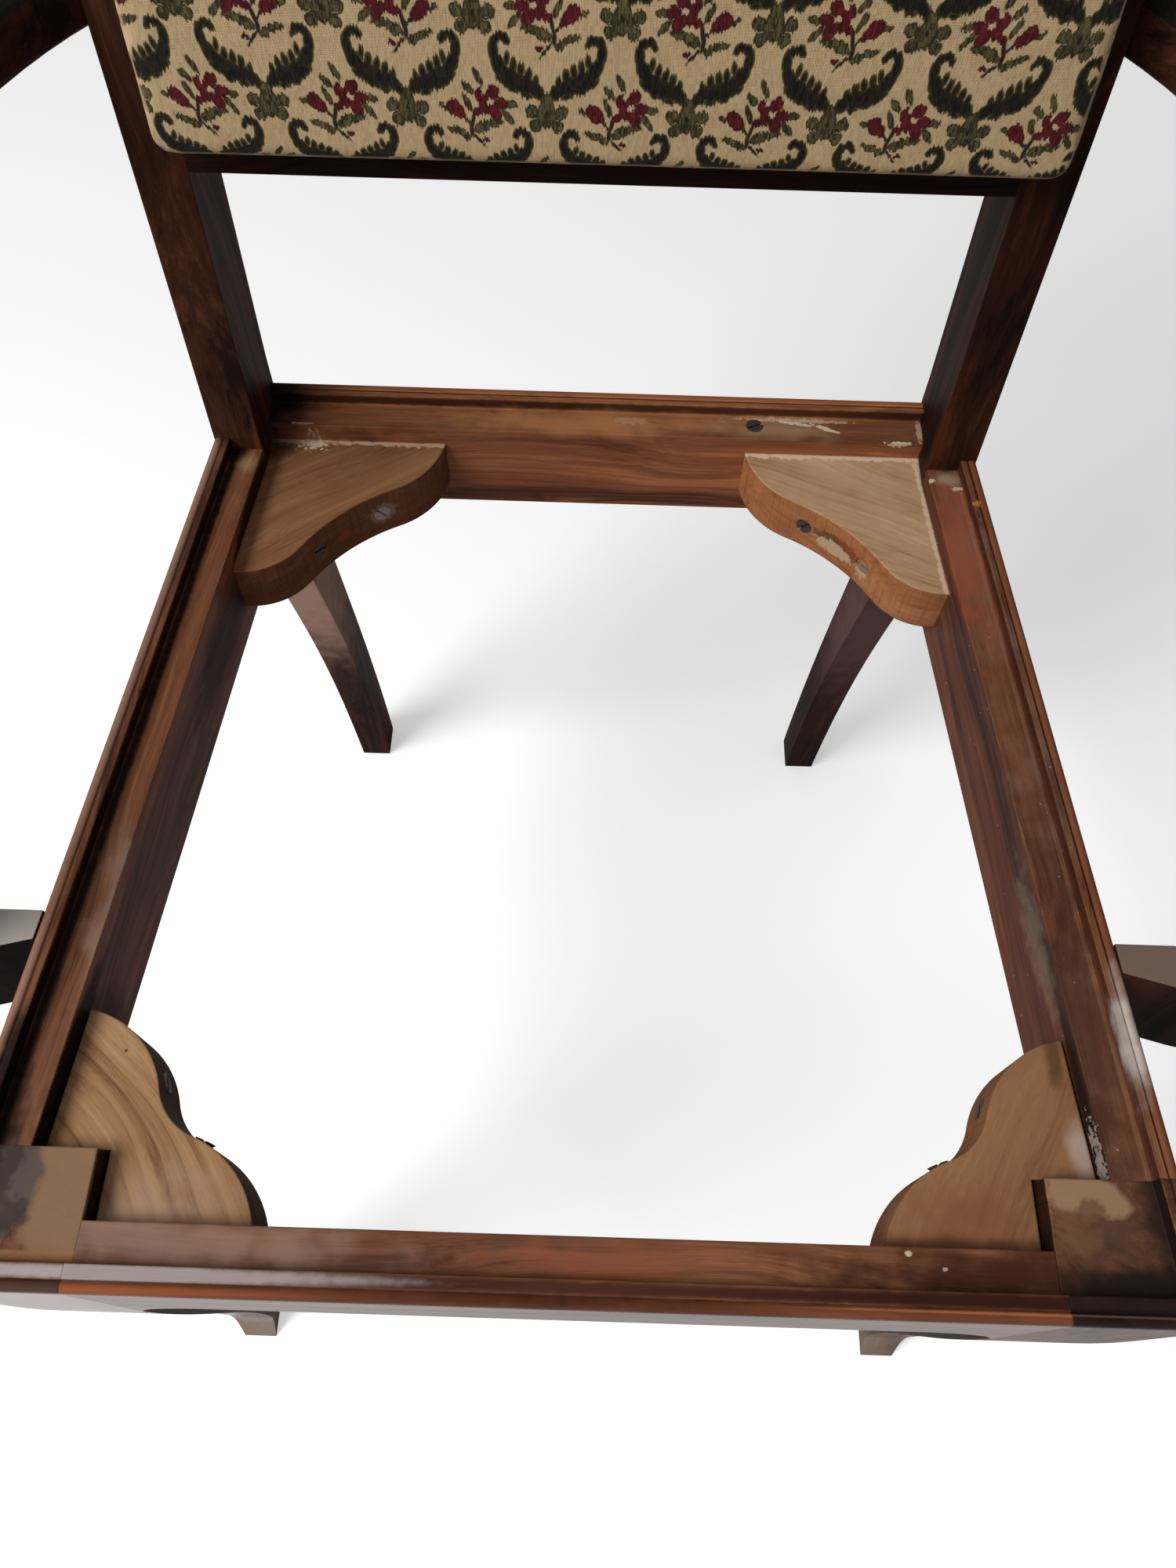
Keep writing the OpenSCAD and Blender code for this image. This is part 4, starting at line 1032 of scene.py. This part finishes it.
outline = rounded_loop(383, 212, 10, 5)
curve = bpy.data.curves.new("pad_welt", "CURVE")
curve.dimensions = "3D"
curve.bevel_depth = 2.6 * MM
curve.bevel_resolution = 4
path = curve.splines.new("NURBS")
path.points.add(len(outline) - 1)
for number, (x, up) in enumerate(outline):
    wander = 0.35 * math.sin(number * 1.9) + 0.25 * math.sin(number * 0.7)
    spot = on_back(SHIFT + x, (LOW + HIGH) / 2 + up + wander, 2.9 + wander * 0.5)
    path.points[number].co = (*spot, 1)
path.use_cyclic_u = True
path.order_u = 4
welt = bpy.data.objects.new("pad_welt", curve)
bpy.context.scene.collection.objects.link(welt)
dress(welt, tapestry)
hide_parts("back_piping")
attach(welt, "root")
print("welt:", len(outline), "points")

# %% [markdown]
# ## Webbing and the cover of the outside back
#
# Behind the pad, jute straps pass over and under each other, and a lining closes the back.
# Both are modelled directly: a remesh would eat such thin cloth.

# %% Plain weaves
def plain_weave(name, dark, light, pitch):
    material, tree, shader = new_finish(name)
    where = node(tree, "TexCoord").outputs["Object"]
    x, _, z = node(tree, "SeparateXYZ", moves(tree, "MULTIPLY", where, (2 * math.pi / pitch,) * 3)).outputs
    over = times(tree, sums(tree, "SINE", x), sums(tree, "SINE", z))
    slub = noise(tree, where, 240, 3)
    share = plus(tree, scaled(tree, over, 0.3, 0.2), times(tree, slub, 0.6))
    fill(tree, shader, Base_Color=blend(tree, share, paint(*dark), paint(*light)), Roughness=0.95,
         Specular_IOR_Level=0.2, Normal=relief(tree, 0.6, 0.0004, share))
    return material


linen = plain_weave("linen lining", (112, 100, 80), (150, 136, 112), 0.0011)
jute = plain_weave("jute webbing", (108, 86, 56), (150, 124, 86), 0.0022)
print("weaves:", linen.name, "and", jute.name)

# %% Webbing straps
STRAP, STEPS = 50, 60
UPWARD_AT, ACROSS_AT = (-90, 0, 90), (227, 307)
FOOT, TOP, HALF_REACH = 167.4, 372.6, 190


def ribbon(name, start, end, lift, material):
    """A flat strap from start to end, in mm across and up the back, that lies lift(x, up) out of it."""
    a, b = Vector(start), Vector(end)
    along_it = (b - a).normalized()
    side = Vector((-along_it.y, along_it.x)) * (STRAP / 2)
    mesh = bmesh.new()
    rows = []
    for k in range(STEPS + 1):
        p = a.lerp(b, k / STEPS)
        spots = [p + side * share for share in (-1, -0.5, 0, 0.5, 1)]
        rows.append([mesh.verts.new(on_back(q.x, q.y, lift(p.x, p.y))) for q in spots])
    for low, high in zip(rows, rows[1:]):
        for k in range(4):
            mesh.faces.new((low[k], low[k + 1], high[k + 1], high[k]))
    thing = piece_from(name, mesh)
    thicken(thing, 0.001)
    dress(thing, material)
    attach(thing, "root")
    return thing


def over_under(share, sign):
    """How far out a strap lies, in mm, as it passes over one strap and under the next."""
    return 1.25 + 0.6 * sign * math.cos(math.pi * share)


straps = []
for number, x in enumerate(UPWARD_AT):
    sign = 1 if number % 2 else -1
    straps.append(ribbon("web_strap_up_%d" % number, (x, FOOT), (x, TOP),
                         lambda _, up, s=sign: over_under((up - 227) / 80, s), jute))
for number, up in enumerate(ACROSS_AT):
    sign = 1 if number % 2 else -1
    straps.append(ribbon("web_strap_across_%d" % number, (-HALF_REACH, up), (HALF_REACH, up),
                         lambda x, _, s=sign: over_under(x / 90, s), jute))
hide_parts("back_webbing")
print("straps:", len(straps))

# %% Lining of the outside back
WIDE, TALL, BEHIND, SAG = 365.6, 208, -25.6, 1.4
mesh = bmesh.new()
bmesh.ops.create_grid(mesh, x_segments=36, y_segments=20, size=0.5)
for point in mesh.verts:
    x, up, _ = point.co
    sag = SAG * math.cos(math.pi * x) * math.cos(math.pi * up)
    sag += 0.25 * math.sin(40 * x) * math.cos(math.pi * up)
    point.co = on_back(x * WIDE, 257.5 + up * TALL, BEHIND + sag)
lining = piece_from("back_lining", mesh)
thicken(lining, 0.0008)
lining.data.polygons.foreach_set("use_smooth", [True] * len(lining.data.polygons))
dress(lining, linen)
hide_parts("outside_back")
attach(lining, "root")
print("lining sags", SAG, "mm")

# %% [markdown]
# ## Floor and light
#
# The chair stands on a plain pale floor. One broad, soft lamp from the front left gives the
# rails their lit and shaded faces, and a pale world fills in the rest.

# %% Floor
mesh = bmesh.new()
bmesh.ops.create_grid(mesh, x_segments=1, y_segments=1, size=12)
floor = piece_from("floor", mesh)
pale, tree, shader = new_finish("pale floor")
sees = node(tree, "LightPath").outputs
shown = sums(tree, "MAXIMUM", sees["Is Camera Ray"], sees["Is Glossy Ray"])
shade = blend(tree, shown, (0.16, 0.16, 0.16, 1), (0.84, 0.84, 0.84, 1))
behind = node(tree, "SeparateXYZ", node(tree, "TexCoord").outputs["Object"]).outputs[1]
# The floor's glow for the camera fades towards the back: painted shade on the floor.
glow = step(tree, behind, -0.2, 0.9, 0.43, 0.285)
fill(tree, shader, Base_Color=shade, Roughness=0.95, Emission_Color=(1, 1, 1, 1),
     Emission_Strength=times(tree, sees["Is Camera Ray"], glow))
dress(floor, pale)
floor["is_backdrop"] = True

# %% Light
world = bpy.data.worlds.new("pale room")
bpy.context.scene.world = world
world.use_nodes = True
tree = world.node_tree
backing = tree.nodes["Background"]
seen = node(tree, "LightPath").outputs
way = node(tree, "TexCoord").outputs["Generated"]
toward = step(tree, dot(tree, way, Vector((-0.42, -0.55, 0.72))), -0.5, 0.9, 0.07, 0.46)
plain = sums(tree, "MAXIMUM", seen["Is Camera Ray"], seen["Is Transmission Ray"])
lit = times(tree, less(tree, 1.0, plain), toward)
fill(tree, backing, Color=(1, 1, 1, 1), Strength=plus(tree, lit, plain))


lamp = bpy.data.objects.new("window_lamp", bpy.data.lights.new("window_lamp", "AREA"))
lamp.data.shape = "DISK"
lamp.data.size = 1.3
lamp.data.energy = 50
lamp.location = (-1.5, -0.8, 2.2)
lamp.rotation_euler = (lamp.location - Vector((0, 0, 0.3))).to_track_quat("Z", "Y").to_euler()
bpy.context.scene.collection.objects.link(lamp)
bpy.context.scene.view_settings.view_transform = "Standard"

# %% [markdown]
# ## Last checks
#
# Both boxes are measured, and how far the dressed chair has grown past the CAD model's is printed.
# The dressed chair has to keep the CAD model's size.

# %% Sizes and finish
low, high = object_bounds()
sizes = {"cad": [list(cad_low), list(cad_high)], "visual": [list(low), list(high)]}
grown = [*(cad_low - low), *(high - cad_high)]
print("grown by, mm:", [round(a / MM, 2) for a in grown])
